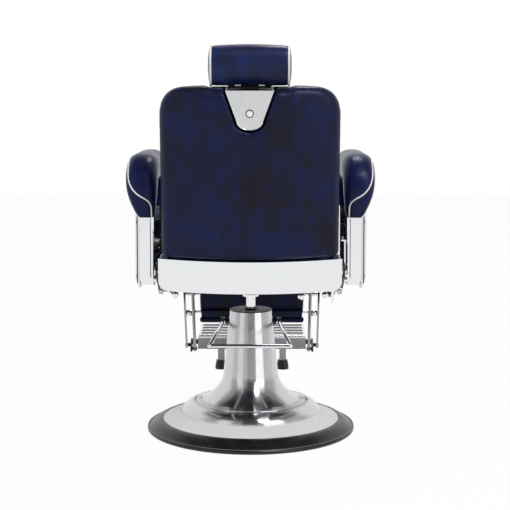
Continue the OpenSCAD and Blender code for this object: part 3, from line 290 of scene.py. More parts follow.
def puffed(obj, held, pressure, cap, voxel=0.005, tight=5):
    """Fills an upholstered piece like a stuffed cover: cloth under pressure, its swell capped.

    held is a function of the points that gives 1 where the cover is fixed to its board; the higher
    tight is, the smoother the cover lies.
    """
    modify(obj, "REMESH", mode="VOXEL", voxel_size=voxel, use_smooth_shade=True)
    modify(obj, "SMOOTH", factor=0.5, iterations=2)
    evaluated(obj)
    start = coordinates(obj)
    if held is not None:
        group = obj.vertex_groups.new(name="held")
        for index in np.flatnonzero(held(start) > 0.5):
            group.add([int(index)], 1.0, "REPLACE")
    cloth = modify(obj, "CLOTH")
    for key, value in {**LEATHER_CLOTH, "uniform_pressure_force": pressure}.items():
        setattr(cloth.settings, key, value)
    cloth.settings.effector_weights.gravity = 0
    if held is not None:
        cloth.settings.vertex_group_mass = "held"
    cloth.collision_settings.use_collision = False
    for step in range(1, CLOTH_FRAMES + 1):
        bpy.context.scene.frame_set(step)
    evaluated(obj)
    bpy.context.scene.frame_set(1)
    move = coordinates(obj) - start
    size = np.linalg.norm(move, axis=1)[:, None]
    move = evened(obj, move * np.minimum(1, cap / np.maximum(size, 1e-9)), tight)
    set_coordinates(obj, start + move)
    modify(obj, "SMOOTH", factor=0.5, iterations=2)
    modify(obj, "SUBSURF", levels=1, render_levels=1)
    evaluated(obj)
    obj.data.shade_smooth()


def dress(obj, body, look, replaces=()):
    """Gives a finished piece its material and body, and the nodes that it stands for."""
    obj.data.materials.clear()
    obj.data.materials.append(looks[look])
    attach(obj, body)
    for node in replaces:
        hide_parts(node)
    return obj


class Value:
    """A socket of a material, so that a pattern is written as a formula."""

    def __init__(self, look, socket):
        self.look = look
        self.socket = socket

    def _math(self, operation, *values):
        return self.look.node("ShaderNodeMath", {"operation": operation}, dict(enumerate(values)))

    def __add__(self, other):
        return self._math("ADD", self, other)

    def __sub__(self, other):
        return self._math("SUBTRACT", self, other)

    def __rsub__(self, other):
        return self._math("SUBTRACT", other, self)

    def __mul__(self, other):
        return self._math("MULTIPLY", self, other)

    def __truediv__(self, other):
        return self._math("DIVIDE", self, other)

    def __pow__(self, other):
        return self._math("POWER", self, other)

    __radd__ = __add__
    __rmul__ = __mul__

    def part(self, index):
        parts = self.look.node("ShaderNodeSeparateXYZ", {}, {0: self})
        return Value(self.look, parts.socket.node.outputs[index])

    def between(self, low, high):
        """0 below low, 1 above high, smooth between them."""
        values = {"Value": self, "From Min": low, "From Max": high}
        return self.look.node("ShaderNodeMapRange", {"interpolation_type": "SMOOTHSTEP"}, values)


def any_ray(look, *kinds):
    """1 for a ray of any of these kinds."""
    path = look.node("ShaderNodeLightPath", {}, {}).socket.node
    rays = [Value(look, path.outputs["Is " + kind + " Ray"]) for kind in kinds]
    found = rays[0]
    for ray in rays[1:]:
        found = found._math("MAXIMUM", found, ray)
    return found


looks = {}


class Look:
    """One finish: a Principled shader whose constants are set on its own sockets."""

    def __init__(self, name, **constants):
        self.material = bpy.data.materials.new(name)
        self.material.use_nodes = True
        self.tree = self.material.node_tree
        self.tree.nodes.clear()
        out = self.tree.nodes.new("ShaderNodeOutputMaterial")
        self.shader = self.tree.nodes.new("ShaderNodeBsdfPrincipled")
        self.tree.links.new(self.shader.outputs[0], out.inputs[0])
        self.set(**constants)
        looks[name] = self.material

    def node(self, kind, settings, inputs, output=0):
        node = self.tree.nodes.new(kind)
        for key, value in settings.items():
            if key == "stops":
                ramp = node.color_ramp
                while len(ramp.elements) < len(value):
                    ramp.elements.new(0.5)
                for element, (place, colour) in zip(ramp.elements, value):
                    element.position = place
                    element.color = colour
            else:
                setattr(node, key, value)
        for key, value in inputs.items():
            if isinstance(value, Value):
                self.tree.links.new(value.socket, node.inputs[key])
            elif value is not None:
                node.inputs[key].default_value = value
        return Value(self, node.outputs[output])

    def set(self, **values):
        for key, value in values.items():
            socket = self.shader.inputs[key.replace("_", " ").title().replace("Ior", "IOR")]
            if isinstance(value, Value):
                self.tree.links.new(value.socket, socket)
            else:
                socket.default_value = value

    def place(self, scale=(1, 1, 1), move=(0, 0, 0)):
        at = self.node("ShaderNodeTexCoord", {}, {}, "Object")
        return self.node("ShaderNodeMapping", {}, {"Vector": at, "Scale": scale, "Location": move})

    def noise(self, size, scale=(1, 1, 1), detail=3.0, roughness=0.5, distortion=0.0, move=(0, 0, 0)):
        """Soft clouds; size is that of one cloud, in metres."""
        at = self.place([s / size for s in scale], move)
        return self.node("ShaderNodeTexNoise", {}, {"Vector": at, "Scale": 1.0, "Detail": detail,
                                                    "Roughness": roughness, "Distortion": distortion})

    def cells(self, size, feature):
        """Small cells, such as the pebbles of grained leather; size is that of one cell, in metres."""
        return self.node("ShaderNodeTexVoronoi", {"feature": feature},
                         {"Vector": self.place((1 / size, 1 / size, 1 / size)), "Scale": 1.0})

    def blend(self, amount, first, second):
        """Mixes two colours; an input may be a colour or a value."""
        first, second = ((*c, 1.0) if isinstance(c, tuple) else c for c in (first, second))
        return self.node("ShaderNodeMix", {"data_type": "RGBA"}, {"Factor": amount, 6: first, 7: second}, 2)

    def bump(self, height, distance, strength=1.0, below=None):
        values = {"Height": height, "Distance": distance, "Strength": strength}
        if below is not None:
            values["Normal"] = below
        return self.node("ShaderNodeBump", {}, values)


def srgb(r, g, b):
    """A colour as it shows on screen, in 0 to 255."""
    return tuple(((c / 255 + 0.055) / 1.055) ** 2.4 for c in (r, g, b))


def dimmed(colour, *shares):
    """The colour with its red, green and blue each taken to a share; one share serves all three."""
    return tuple(c * f for c, f in zip(colour, shares * 3 if len(shares) == 1 else shares))


def leather(name, light, dark, patch, gloss=0.30):
    """Antiqued leather: dark patches rubbed into the navy, pebbled grain, fine creases and soft waves."""
    look = Look(name, specular_ior_level=0.16)
    clouds = look.noise(0.048, (1.2, 1.0, 0.8), detail=2.5, distortion=0.2)
    broad = look.noise(0.17, (1.0, 1.0, 0.8), detail=1.5, move=(3.1, 1.7, 0.4))
    worn = (clouds * 0.70 + broad * 0.50).between(0.42, 0.76)
    colour = look.blend(worn * patch, light, dark)
    fine = look.noise(0.0032, detail=2.0)
    colour = look.blend((fine - 0.5) * 0.22 + 0.10, colour, dimmed(light, 1.5, 1.5, 1.4))
    grain = look.cells(0.0017, "SMOOTH_F1")
    crease = look.cells(0.0065, "DISTANCE_TO_EDGE").between(0.0, 0.10)
    wave = look.noise(0.045, (1.0, 1.0, 0.7), detail=2.0, move=(5.0, 0, 2.0))
    height = look.bump(grain, 0.00022, 0.55)
    height = look.bump(crease, 0.00010, 0.35, height)
    height = look.bump(wave, 0.0030, 0.30, height)
    rough = gloss + worn * 0.07 + (fine - 0.5) * 0.10 + broad * 0.05
    look.set(base_color=colour, roughness=rough, normal=height)


def cord_vinyl(name, colour):
    """The vinyl skin of the piping, a little soiled in places."""
    look = Look(name, specular_ior_level=0.5)
    soil = look.noise(0.012).between(0.46, 0.70)
    tone = look.blend(soil * 0.30, colour, dimmed(colour, 0.94, 0.93, 0.91))
    grain = look.noise(0.0009, detail=2.0)
    look.set(base_color=tone, roughness=0.38 + soil * 0.16,
                    normal=look.bump(grain, 0.0001, 0.4))


def plated(name, colour, rough=0.06, grain=0.0):
    """Bright chrome: nearly a mirror, with the faint waves and dulled spots of polished plate."""
    look = Look(name, metallic=1.0)
    wave = look.noise(0.06, detail=1.0)
    dull = look.noise(0.018, detail=4.0, roughness=0.6).between(0.52, 0.75)
    tone = look.blend(dull * 0.25, colour, dimmed(colour, 0.90))
    bent = look.bump(wave, 0.0007, 0.35)
    if grain:
        bent = look.bump(look.noise(0.0012, detail=2.0), 0.00004, grain, bent)
    look.set(base_color=tone, roughness=rough + dull * 0.04, normal=bent)


def spun(name, colour):
    """Aluminium polished on the lathe: fine rings round the chair's axis."""
    look = Look(name, metallic=1.0, anisotropic=1.0, anisotropic_rotation=0.25)
    line = 0.0016
    at = look.place()
    across = (at.part(0) ** 2 + at.part(1) ** 2) ** 0.5
    turned = look.node("ShaderNodeCombineXYZ", {}, {0: across / line, 1: at.part(2) / line, 2: 0.0})
    rings = look.node("ShaderNodeTexNoise", {}, {"Vector": turned, "Scale": 1.0, "Detail": 3.0,
                                                 "Roughness": 0.6})
    handled = look.noise(0.05).between(0.45, 0.75)
    tone = look.blend(rings * 0.30, colour, dimmed(colour, 0.80))
    tone = look.blend(handled * 0.18, tone, dimmed(colour, 0.82))
    grain = look.bump(rings, 0.00005, 0.5)
    look.set(base_color=tone, roughness=0.15 + rings * 0.04 + handled * 0.05, normal=grain)


def brushed(name, colour, rough=0.26, along=(1, 1, 0.012), line=0.0009, wear=0.12):
    """Steel drawn over a belt: long fine scratches one way."""
    look = Look(name, metallic=1.0)
    lines = look.noise(line, along, roughness=0.65)
    bands = look.noise(line * 9, along, detail=2.0)
    tone = look.blend((lines - 0.35) * 0.55, colour, dimmed(colour, 0.66))
    tone = look.blend((bands - 0.35) * 0.40, tone, dimmed(colour, 0.80))
    normal = look.bump(lines, 0.00006, 0.45)
    look.set(base_color=tone, roughness=rough + lines * wear, normal=normal)


def coated(name, colour, rough, dust=0.05, metal=0.0, bump=0.00008, level=0.5):
    """Rubber, moulded plastic or painted steel: a fine skin, with dust and rubbed places."""
    look = Look(name, metallic=metal, specular_ior_level=level)
    skin = look.noise(0.0016, detail=2.0)
    rubbed = look.noise(0.035, detail=4.0, roughness=0.6).between(0.48, 0.72)
    lighter = tuple(min(1.0, c * 1.35 + dust * 0.15) for c in colour)
    tone = look.blend(rubbed * 0.55, colour, lighter)
    tone = look.blend(skin * 0.25, tone, dimmed(colour, 0.75))
    look.set(base_color=tone, roughness=rough + rubbed * 0.10 + (skin - 0.5) * 0.10,
                    normal=look.bump(skin, bump, 0.5))


def plywood(name):
    """Birch plywood, its layers stacked from front to rear."""
    look = Look(name, specular_ior_level=0.3)
    layers = look.node("ShaderNodeTexWave", {"wave_type": "BANDS", "bands_direction": "Y"},
                       {"Vector": look.place((0, 1 / 0.0028, 0)), "Scale": 0.5})
    grain = look.noise(0.004, (1, 1, 0.06), detail=4.0, roughness=0.6, distortion=0.6)
    pores = look.noise(0.0011, (1, 1, 0.09), detail=2.0)
    tone = look.blend(grain, srgb(196, 160, 112), srgb(164, 122, 78))
    tone = look.blend(pores.between(0.55, 0.75) * 0.4, tone, srgb(118, 82, 50))
    tone = look.blend(layers * 0.25, tone, srgb(140, 102, 66))
    look.set(base_color=tone, roughness=0.60 + pores * 0.15,
                    normal=look.bump(pores, 0.0001, 0.4))


NAVY = srgb(23, 31, 74)
NEAR_BLACK = srgb(25, 22, 26)
leather("navy_leather", NAVY, NEAR_BLACK, patch=0.95)
leather("navy_leather_pads", srgb(22, 31, 82), NEAR_BLACK, patch=0.35, gloss=0.26)
leather("navy_leather_roll", srgb(34, 46, 96), srgb(30, 30, 44), patch=0.8)
cord_vinyl("white_piping", srgb(250, 249, 246))
plated("chrome", srgb(232, 234, 236))
plated("cover_chrome", srgb(186, 187, 190), 0.08)
plated("grey_chrome", srgb(150, 151, 154), 0.10)
spun("polished_aluminium", srgb(205, 206, 208))
brushed("cast_plate", srgb(232, 233, 235), 0.16, (0.02, 1, 1), wear=0.08)
coated("steel", srgb(62, 63, 66), 0.40, metal=0.85)
coated("black_board", srgb(20, 20, 22), 0.60)
brushed("brushed_steel", srgb(208, 209, 212))
brushed("brushed_plate", srgb(222, 223, 225), 0.24, (1, 1, 0.010), line=0.0042, wear=0.20)
brushed("brushed_across", srgb(160, 161, 164), 0.24, (0.012, 1, 1))
coated("floor_rubber", srgb(27, 27, 28), 0.28, bump=0.00006, level=0.42)
# lip of the floor ring: a light grey that paints the highlight along the ring's edge on the dark rubber
coated("lip_painted_highlight", srgb(118, 118, 120), 0.35)
# base disc: a chrome disc given a plain near-white, a painted reflection of the white floor round it
coated("white_painted_reflection", srgb(250, 250, 250), 0.36, dust=0.0, bump=0.00002, level=0.45)
plated("bright_chrome", srgb(246, 246, 247), 0.20)
coated("black_rubber", srgb(24, 24, 26), 0.48)
coated("black_plastic", srgb(16, 16, 18), 0.34, dust=0.01, level=0.30)
plated("brass", srgb(150, 126, 84), 0.22, 0.3)
plywood("plywood")
slot_looks = {
    "floor_rubber": ["rubber_ring"],
    "steel": ["base_plate", "pump_cylinder", "base_bolts", "pedal_shaft", "swivel_hub", "hub_bolts",
              "seat_rails", "side_plate_left", "side_plate_right", "recline_cylinder",
              "headrest_housing", "leg_shaft", "foot_pins"],
    "white_painted_reflection": ["base_disc"],
    "chrome": ["pump_pedal", "piston", "recline_pins", "arm_frame_left", "arm_frame_right", "arm_bolts",
               "recline_rod", "back_band", "release_button", "lever_arm", "calf_bolts"],
    "cover_chrome": ["arm_cover_left", "arm_cover_right"],
    "grey_chrome": ["leg_bars", "foot_rods"],
    "polished_aluminium": ["base_dome", "column_shell"],
    "cast_plate": ["footplate"],
    "black_plastic": ["column_cap", "pedal_bushes", "lever_grip"],
    "black_rubber": ["piston_seal", "foot_tips"],
    "brass": ["thrust_washer"],
    "plywood": ["headrest_board"],
    "black_board": ["seat_pan", "back_board", "headrest_tongue"],
    "brushed_plate": ["headrest_shield"],
    "brushed_steel": ["foot_posts", "back_bracket_left", "back_bracket_right", "link_left", "link_right"],
    "brushed_across": ["heel_skirt"],
    "navy_leather": ["seat_cushion", "back_cushion", "back_cover", "calf_pad", "headrest_pad",
                     "arm_pad_left", "arm_pad_right", "calf_board"],
}
for look_name, node_names in slot_looks.items():
    for node_name in node_names:
        node_obj = bpy.data.objects[node_name]
        for place in node_obj.material_slots:
            place.material = looks[look_name]


# --- Geometry Nodes: cords and screw heads ---------------------------------------------------------
def new_tree(name, **inputs):
    """A geometry tree with inputs of these kinds: the tree, its inputs, a node maker and its end."""
    tree = bpy.data.node_groups.new(name, "GeometryNodeTree")
    tree.interface.new_socket(name="Geometry", in_out="INPUT", socket_type="NodeSocketGeometry")
    for label, kind in {**inputs, "Finish": "Material"}.items():
        tree.interface.new_socket(name=label, in_out="INPUT", socket_type="NodeSocket" + kind)
    tree.interface.new_socket(name="Geometry", in_out="OUTPUT", socket_type="NodeSocketGeometry")
    entry = tree.nodes.new("NodeGroupInput")
    result = tree.nodes.new("NodeGroupOutput")

    def make(kind, settings=None, **links):
        node = tree.nodes.new(kind)
        for key, value in (settings or {}).items():
            setattr(node, key, value)
        for key, value in links.items():
            socket = node.inputs[key.replace("_", " ")]
            if isinstance(value, bpy.types.NodeSocket):
                tree.links.new(value, socket)
            else:
                socket.default_value = value
        return node

    def finish(geometry):
        real = make("GeometryNodeRealizeInstances", Geometry=geometry)
        painted = make("GeometryNodeSetMaterial", Geometry=real.outputs[0],
                       Material=entry.outputs["Finish"])
        tree.links.new(painted.outputs[0], result.inputs[0])
        return tree

    return tree, entry.outputs, make, finish


def cord_tree():
    """A round cord swept along the object's edges."""
    _, given, make, finish = new_tree("cord", Radius="Float", Sides="Int")
    line = make("GeometryNodeMeshToCurve", Mesh=given["Geometry"])
    ring = make("GeometryNodeCurvePrimitiveCircle", Resolution=given["Sides"], Radius=given["Radius"])
    skin = make("GeometryNodeCurveToMesh", Curve=line.outputs[0], Profile_Curve=ring.outputs[0],
                Fill_Caps=True)
    smooth = make("GeometryNodeSetShadeSmooth", Geometry=skin.outputs[0])
    return finish(smooth.outputs[0])


def head_tree():
    """Round heads on points, turned to each point's facing: a flat washer and a dome."""
    tree, given, make, finish = new_tree("heads", Radius="Float", Height="Float", Washer="Float",
                                         Sides="Int")

    def worked(operation, first, second):
        node = make("ShaderNodeMath", {"operation": operation})
        tree.links.new(first, node.inputs[0])
        if isinstance(second, float):
            node.inputs[1].default_value = second
        else:
            tree.links.new(second, node.inputs[1])
        return node.outputs[0]

    dome = make("GeometryNodeMeshUVSphere", Segments=given["Sides"], Rings=9, Radius=given["Radius"])
    size = make("ShaderNodeCombineXYZ", X=1.0, Y=1.0, Z=worked("DIVIDE", given["Height"], given["Radius"]))
    dome = make("GeometryNodeTransform", Geometry=dome.outputs[0], Scale=size.outputs[0])
    washer = make("GeometryNodeMeshCylinder", Vertices=given["Sides"],
                  Radius=worked("MULTIPLY", given["Radius"], given["Washer"]),
                  Depth=worked("MULTIPLY", given["Height"], 0.7))
    both = make("GeometryNodeJoinGeometry")
    tree.links.new(dome.outputs[0], both.inputs[0])
    tree.links.new(washer.outputs[0], both.inputs[0])
    facing = make("GeometryNodeInputNamedAttribute", {"data_type": "FLOAT_VECTOR"}, Name="facing")
    turn = make("FunctionNodeAlignRotationToVector", {"axis": "Z"}, Vector=facing.outputs[0])
    heads = make("GeometryNodeInstanceOnPoints", Points=given["Geometry"], Instance=both.outputs[0],
                 Rotation=turn.outputs[0])
    return finish(heads.outputs[0])


CORD, HEADS = cord_tree(), head_tree()


def grown(obj, tree, finish, **sizes):
    """Runs a tree on the object with its sizes, and keeps the result as a plain mesh."""
    modifier = obj.modifiers.new(tree.name, "NODES")
    modifier.node_group = tree
    names = {item.name: item.identifier for item in tree.interface.items_tree if item.in_out == "INPUT"}
    modifier[names["Finish"]] = finish
    for key, value in sizes.items():
        modifier[names[key]] = value
    evaluated(obj)
    return face_outwards(obj)


def trim(name, path, radius, look, body, closed=False, sides=12):
    """A round cord or edge along a path of points."""
    n = len(path)
    edges = [(i, i + 1) for i in range(n - 1)] + ([(n - 1, 0)] if closed else [])
    cord = mesh_object(name, path, edges=edges)
    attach(grown(cord, CORD, looks[look], Radius=radius, Sides=sides), body)


def heads_on(name, points, facing, look, body, slot, **sizes):
    """Round heads on points, each turned to its facing."""
    heads = mesh_object(name, points)
    heads.data.attributes.new("facing", "FLOAT_VECTOR", "POINT")
    heads.data.attributes["facing"].data.foreach_set("vector", np.asarray(facing, float).ravel())
    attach(grown(heads, HEADS, looks[look], Sides=24, **sizes), body)


# --- Upholstery ------------------------------------------------------------------------------------
def surface_of(obj):
    work = bmesh.new()
    work.from_mesh(obj.data)
    tree = BVHTree.FromBMesh(work)
    work.free()
    return tree


def laid_on(obj, path, lift):
    """The path moved to the nearest places on the piece, lifted from its surface."""
    tree = surface_of(obj)
    found = [tree.find_nearest(Vector(p))[:2] for p in path]
    return np.array([np.array(place) + np.array(normal) * lift for place, normal in found])


def smoothed(path, rounds, closed):
    path = np.asarray(path, float)
    for _ in range(rounds):
        before, after = np.roll(path, 1, 0), np.roll(path, -1, 0)
        mean = (before + 2 * path + after) / 4
        if not closed:
            mean[0], mean[-1] = path[0], path[-1]
        path = mean
    return path


def pressed(obj, path, depth, width):
    """Draws the cover in along a seam."""
    tree = KDTree(len(path))
    for index, p in enumerate(path):
        tree.insert(Vector(p), index)
    tree.balance()
    co = coordinates(obj)
    normals = np.empty_like(co).ravel()
    obj.data.vertices.foreach_get("normal", normals)
    away = np.array([tree.find(Vector(p))[2] for p in co])
    pull = depth * np.exp(-(away / width) ** 2)
    set_coordinates(obj, co - normals.reshape(-1, 3) * pull[:, None])


def piped(name, obj, path, body, radius=PIPING_R, groove=0.0022, sink=0.15, closed=True):
    """White piping sewn into a seam of the cover."""
    length = np.linalg.norm(np.diff(path, axis=0), axis=1).sum()
    path = resample(path, int(length / PIPING_STEP), closed)
    line = laid_on(obj, path, 0.0)
    pressed(obj, line, groove, 2.2 * radius)
    line = smoothed(laid_on(obj, path, radius * (1 - 2 * sink)), 4, closed)
    trim(name, line, radius, "white_piping", body, closed=closed)


def upright(outline, z):
    """An outline of (x, y) laid flat at a height."""
    return np.column_stack([outline, np.full(len(outline), z)])


def shoulder(x, u, r, start):
    a = np.radians(start + np.linspace(0, 90, 13))
    return np.stack([x + r * power_round(np.cos(a), SHOULDER_POWER),
                     u + r * power_round(np.sin(a), SHOULDER_POWER)], 1)


def back_outline(d):
    """The back's outline drawn in by d, as (across, height), anticlockwise from the right shoulder."""
    h, top, low = BACK_HALF - d, BACK_HIGH + BACK_RISE - d, BACK_LOW + 0.25 * d
    rt, rl = BACK_CORNER - d, max(0.014 - d / 2, 0.0035)
    flat, foot = h - rt, h - rl
    s = np.linspace(1, -1, 33)[1:-1]
    up = np.linspace(top - rt, low + rl, 33)[1:-1]
    across = np.linspace(-foot, foot, 33)[1:-1]
    return np.concatenate([
        shoulder(h - rt, top - rt, rt, 0),
        np.stack([flat * s, top + BACK_CROWN * (1 - s * s) - BACK_RISE * under_head(flat * s)], 1),
        shoulder(-h + rt, top - rt, rt, 90),
        np.stack([np.full_like(up, -h), up], 1),
        arc(-foot, low + rl, rl, 180, 270, 5),
        np.stack([across, np.full_like(across, low)], 1),
        arc(foot, low + rl, rl, 270, 360, 5),
        np.stack([np.full_like(up, h), up[::-1]], 1)])


def under_head(across):
    """1 under the headrest, 0 at the shoulders, which rise beside it."""
    return 1 - smooth_step((np.abs(across) - RISE_START) / RISE_RUN)


def back_ring(outline, depth):
    """An outline of the back, as (across, height), laid at one depth or at a depth for each point."""
    return on_back(np.stack([outline[:, 0], np.broadcast_to(depth, len(outline)), outline[:, 1]], 1))


def shrunk(outline, middle, share):
    """An outline drawn towards (0, middle)."""
    return np.stack([outline[:, 0] * share, middle + (outline[:, 1] - middle) * share], 1)


def shield_outline(d, rise):
    """Outline of the rear plate, drawn in by d; negative d is the cut in the leather round it."""
    low, w, h = SHIELD_TOP - SHIELD_TAPER, SHIELD_LOW_HALF - d, SHIELD_H - SHIELD_TAPER - d
    top = [(SHIELD_TOP_HALF - d, SHIELD_TOP), (SHIELD_TOP_HALF - d, SHIELD_TOP + rise),
           (-SHIELD_TOP_HALF + d, SHIELD_TOP + rise), (-SHIELD_TOP_HALF + d, SHIELD_TOP)]
    a = np.radians(180 + 180 * np.arange(25) / 24)
    return np.concatenate([top, np.stack([w * np.cos(a), low + h * np.sin(a)], 1)])


def make_back_cover():
    """The rear upholstery: swelled, rounded over to the board, with the notch for the rear plate."""
    start = 0.002
    rings = [back_ring(back_outline(0.001 + start), BOARD_REAR + 0.0008)]
    for a in quarter(9):
        line = back_outline(start + (BACK_ROUND - 0.002) * (1 - math.cos(a)))
        rings.append(back_ring(line, rear_v(line[:, 0]) - start - BACK_ROUND * (1 - math.sin(a))))
    inner = back_outline(start + BACK_ROUND)
    for s in (0.86, 0.7, 0.5, 0.3, 0.12):
        line = shrunk(inner, BACK_MIDDLE, s)
        rings.append(back_ring(line, rear_v(line[:, 0]) - start))
    cover = loft("back_upholstery", rings)
    notch = shield_outline(-SHIELD_GAP - 0.003, 0.08)
    cut(cover, loft("notch", [back_ring(notch, v) for v in (BOARD_REAR - 0.01, 0.15)]))
    puffed(cover, lambda co: depth_in(co, BACK_AXIS, BACK_LEAN) < BOARD_REAR + 0.006, 3.0, 0.004,
           voxel=0.0053, tight=50)
    dress(cover, "back", "navy_leather", ["back_cover"])


def make_back_cushion():
    """The front cushion of the back, piped round its face."""
    face, start, inset, corner = BOARD_FRONT - 0.052, 0.006, 0.003, 0.022
    rings = [back_ring(back_outline(0.006 + start), BOARD_FRONT - 0.0006)]
    for a in quarter(8):
        line = back_outline(inset + start + corner * (1 - math.cos(a)))
        rings.append(back_ring(line, face + 0.024 * (1 - math.sin(a))))
    inner = back_outline(inset + start + corner)
    for s in (0.85, 0.65, 0.4, 0.15):
        rings.append(back_ring(shrunk(inner, BACK_MIDDLE, s), face - 0.004 * (1 - s * s)))
    cushion = loft("back_cushion_cover", rings)
    puffed(cushion, lambda co: depth_in(co, BACK_AXIS, BACK_LEAN) > BOARD_FRONT - 0.006, 4.0, 0.008,
           voxel=0.0065)
    piped("back_cushion_piping", cushion, back_ring(back_outline(0.012), face + 0.010), "back")
    dress(cushion, "back", "navy_leather_pads", ["back_cushion"])


def head_ring(x, k, grow=0.0):
    """The headrest's section at x, taken to a share k towards its domed ends."""
    a = turns(72)
    v = TONGUE_V + (HEAD_T / 2 * k + grow) * power_round(np.cos(a), HEAD_POWER)
    high = HEAD_LOW + HEAD_H + 0.0035 * (1 - (x / HEAD_HALF) ** 2)
    half, middle = (high - HEAD_LOW + 0.0025) / 2, (high + HEAD_LOW - 0.0025) / 2
    u = middle + (half * k + grow) * power_round(np.sin(a), HEAD_POWER)
    return on_back(np.stack([np.full_like(v, x), v, u], 1))


def make_headrest():
    """The headrest roll with its domed ends, the slot for its bracket, and its two pipings."""
    start = 0.0015
    ends = [((HEAD_HALF + (HEAD_BULGE - start) * math.sin(a)), 0.05 + 0.95 * math.cos(a))
            for a in np.radians(np.linspace(0, 80, 7))]
    rings = [head_ring(-x, k, -start) for x, k in ends[::-1]]
    rings += [head_ring(HEAD_HALF * s, 1.0, -start) for s in np.linspace(-0.9, 0.9, 13)]
    rings += [head_ring(x, k, -start) for x, k in ends]
    roll = loft("headrest_roll", rings)
    puffed(roll, None, 3.5, 0.004, voxel=0.0042, tight=25)
    corners = ((-1, -1), (1, -1), (1, 1), (-1, 1))
    box = np.array([(i * SLOT_HALF, TONGUE_V + j * SLOT_DEEP) for i, j in corners])
    cut(roll, loft("slot", [on_back(upright(box, u)) for u in (HEAD_LOW - 0.04, SLOT_HIGH)]))
    roll.data.shade_smooth()
    modify(roll, "EDGE_SPLIT", split_angle=math.radians(50))
    evaluated(roll)
    for name, side in SIDES:
        piped("headrest_piping_" + name, roll, head_ring(side * HEAD_HALF, 1.0), "headrest", radius=0.0031,
              groove=0.0012, sink=0.0)
    dress(roll, "headrest", "navy_leather_roll", ["headrest_pad"])


def pad_path(steps):
    """Middle line of an arm pad in the YZ plane: (y, z, turn), up the rear, over and down the front."""
    line_z = ARM_TOP - PAD_DEPTH
    bend_z = line_z - PAD_BEND
    rows = [(ARM_REAR, z, 0) for z in np.linspace(ARM_JOINT, bend_z, steps + 1)]
    rows += [(ARM_REAR - PAD_BEND * (1 - math.cos(a)), bend_z + PAD_BEND * math.sin(a), math.degrees(a))
             for a in quarter(15)[1:]]
    rows += [(y, line_z, 90) for y in np.linspace(ARM_REAR - PAD_BEND, PAD_BEND - ARM_FRONT, 14)[1:-1]]
    rows += [(-ARM_FRONT + PAD_BEND * (1 - math.sin(a)), bend_z + PAD_BEND * math.cos(a),
              90 + math.degrees(a)) for a in quarter(15)]
    return rows + [(-ARM_FRONT, z, 180) for z in np.linspace(bend_z, ARM_JOINT, steps + 1)[1:]]


def pad_section(z):
    """Middle, half width and half depth of the arm pad at a height."""
    rise = (z - ARM_JOINT) / (ARM_TOP - PAD_DEPTH - ARM_JOINT)
    t = min(1.0, max(0.0, rise / 0.84))
    g = 1 - (1 - t) ** 2
    arm_x = ARM_IN + ARM_W / 2
    return (arm_x + (PAD_IN + PAD_HALF - arm_x) * g, PAD_END_HALF + (PAD_HALF - PAD_END_HALF) * g,
            PAD_END_DEPTH + (PAD_DEPTH - PAD_END_DEPTH) * float(smooth_step(rise)))


def pad_point(side, row, across, out):
    """A place of the arm pad: its middle line's row, x, and distance outwards from that line."""
    y, z, turn = row
    t = math.radians(turn)
    return (side * across, y + out * math.cos(t), z + out * math.sin(t))


def make_arm_pad(name, side):
    """An arm pad, with its piping near the outer edge and down the rear and the front."""
    start = 0.0035
    a = turns(56)
    rings = []
    for row in pad_path(10):
        c, half, depth = pad_section(row[1])
        u = (half - start) * power_round(np.cos(a), PAD_POWER)
        v = (depth - start) * power_round(np.sin(a), PAD_POWER)
        rings.append([pad_point(side, row, c + p, q) for p, q in zip(u, v)])
    pad = loft("arm_upholstery_" + name, rings)
    puffed(pad, lambda co: co[:, 2] < ARM_JOINT + 0.006, 4.0, 0.0055, tight=20)
    surface = surface_of(pad)
    line = []
    for row in pad_path(40):
        t = math.radians(row[2])
        across = float(np.interp(row[1] + 0.03 * max(0, math.sin(t)), *PIPING_FALL))
        hit, _, _, _ = surface.ray_cast(Vector(pad_point(side, row, across, 0.0)),
                                        Vector((0, math.cos(t), math.sin(t))))
        if hit is not None:
            line.append(np.array(hit))
    piped("arm_piping_" + name, pad, smoothed(line, 6, closed=False), "seat", radius=0.0023, groove=0.0020,
          closed=False)
    dress(pad, "seat", "navy_leather_pads", ["arm_pad_" + name])


# Where the arm's piping lies: heights, and its distance from the chair's middle at each
PIPING_FALL = ((0.652, 0.684, 0.697, 0.7065, 0.7165, 0.730, 0.750, 0.779, 0.900),
               (0.2800, 0.2805, 0.2870, 0.302, 0.322, 0.337, 0.344, 0.3465, 0.3465))


def rounded_box(half_x, y0, y1, corner):
    """A rounded rectangle as (x, y), anticlockwise."""
    x, low, high = half_x - corner, y0 + corner, y1 - corner
    xs, ys = np.linspace(-x, x, 15)[1:-1], np.linspace(low, high, 15)[1:-1]
    return np.concatenate([
        arc(x, high, corner, 0, 90, 8), np.stack([xs[::-1], np.full_like(xs, y1)], 1),
        arc(-x, high, corner, 90, 180, 8), np.stack([np.full_like(ys, -half_x), ys[::-1]], 1),
        arc(-x, low, corner, 180, 270, 8), np.stack([xs, np.full_like(xs, y0)], 1),
        arc(x, low, corner, 270, 360, 8), np.stack([np.full_like(ys, half_x), ys], 1)])


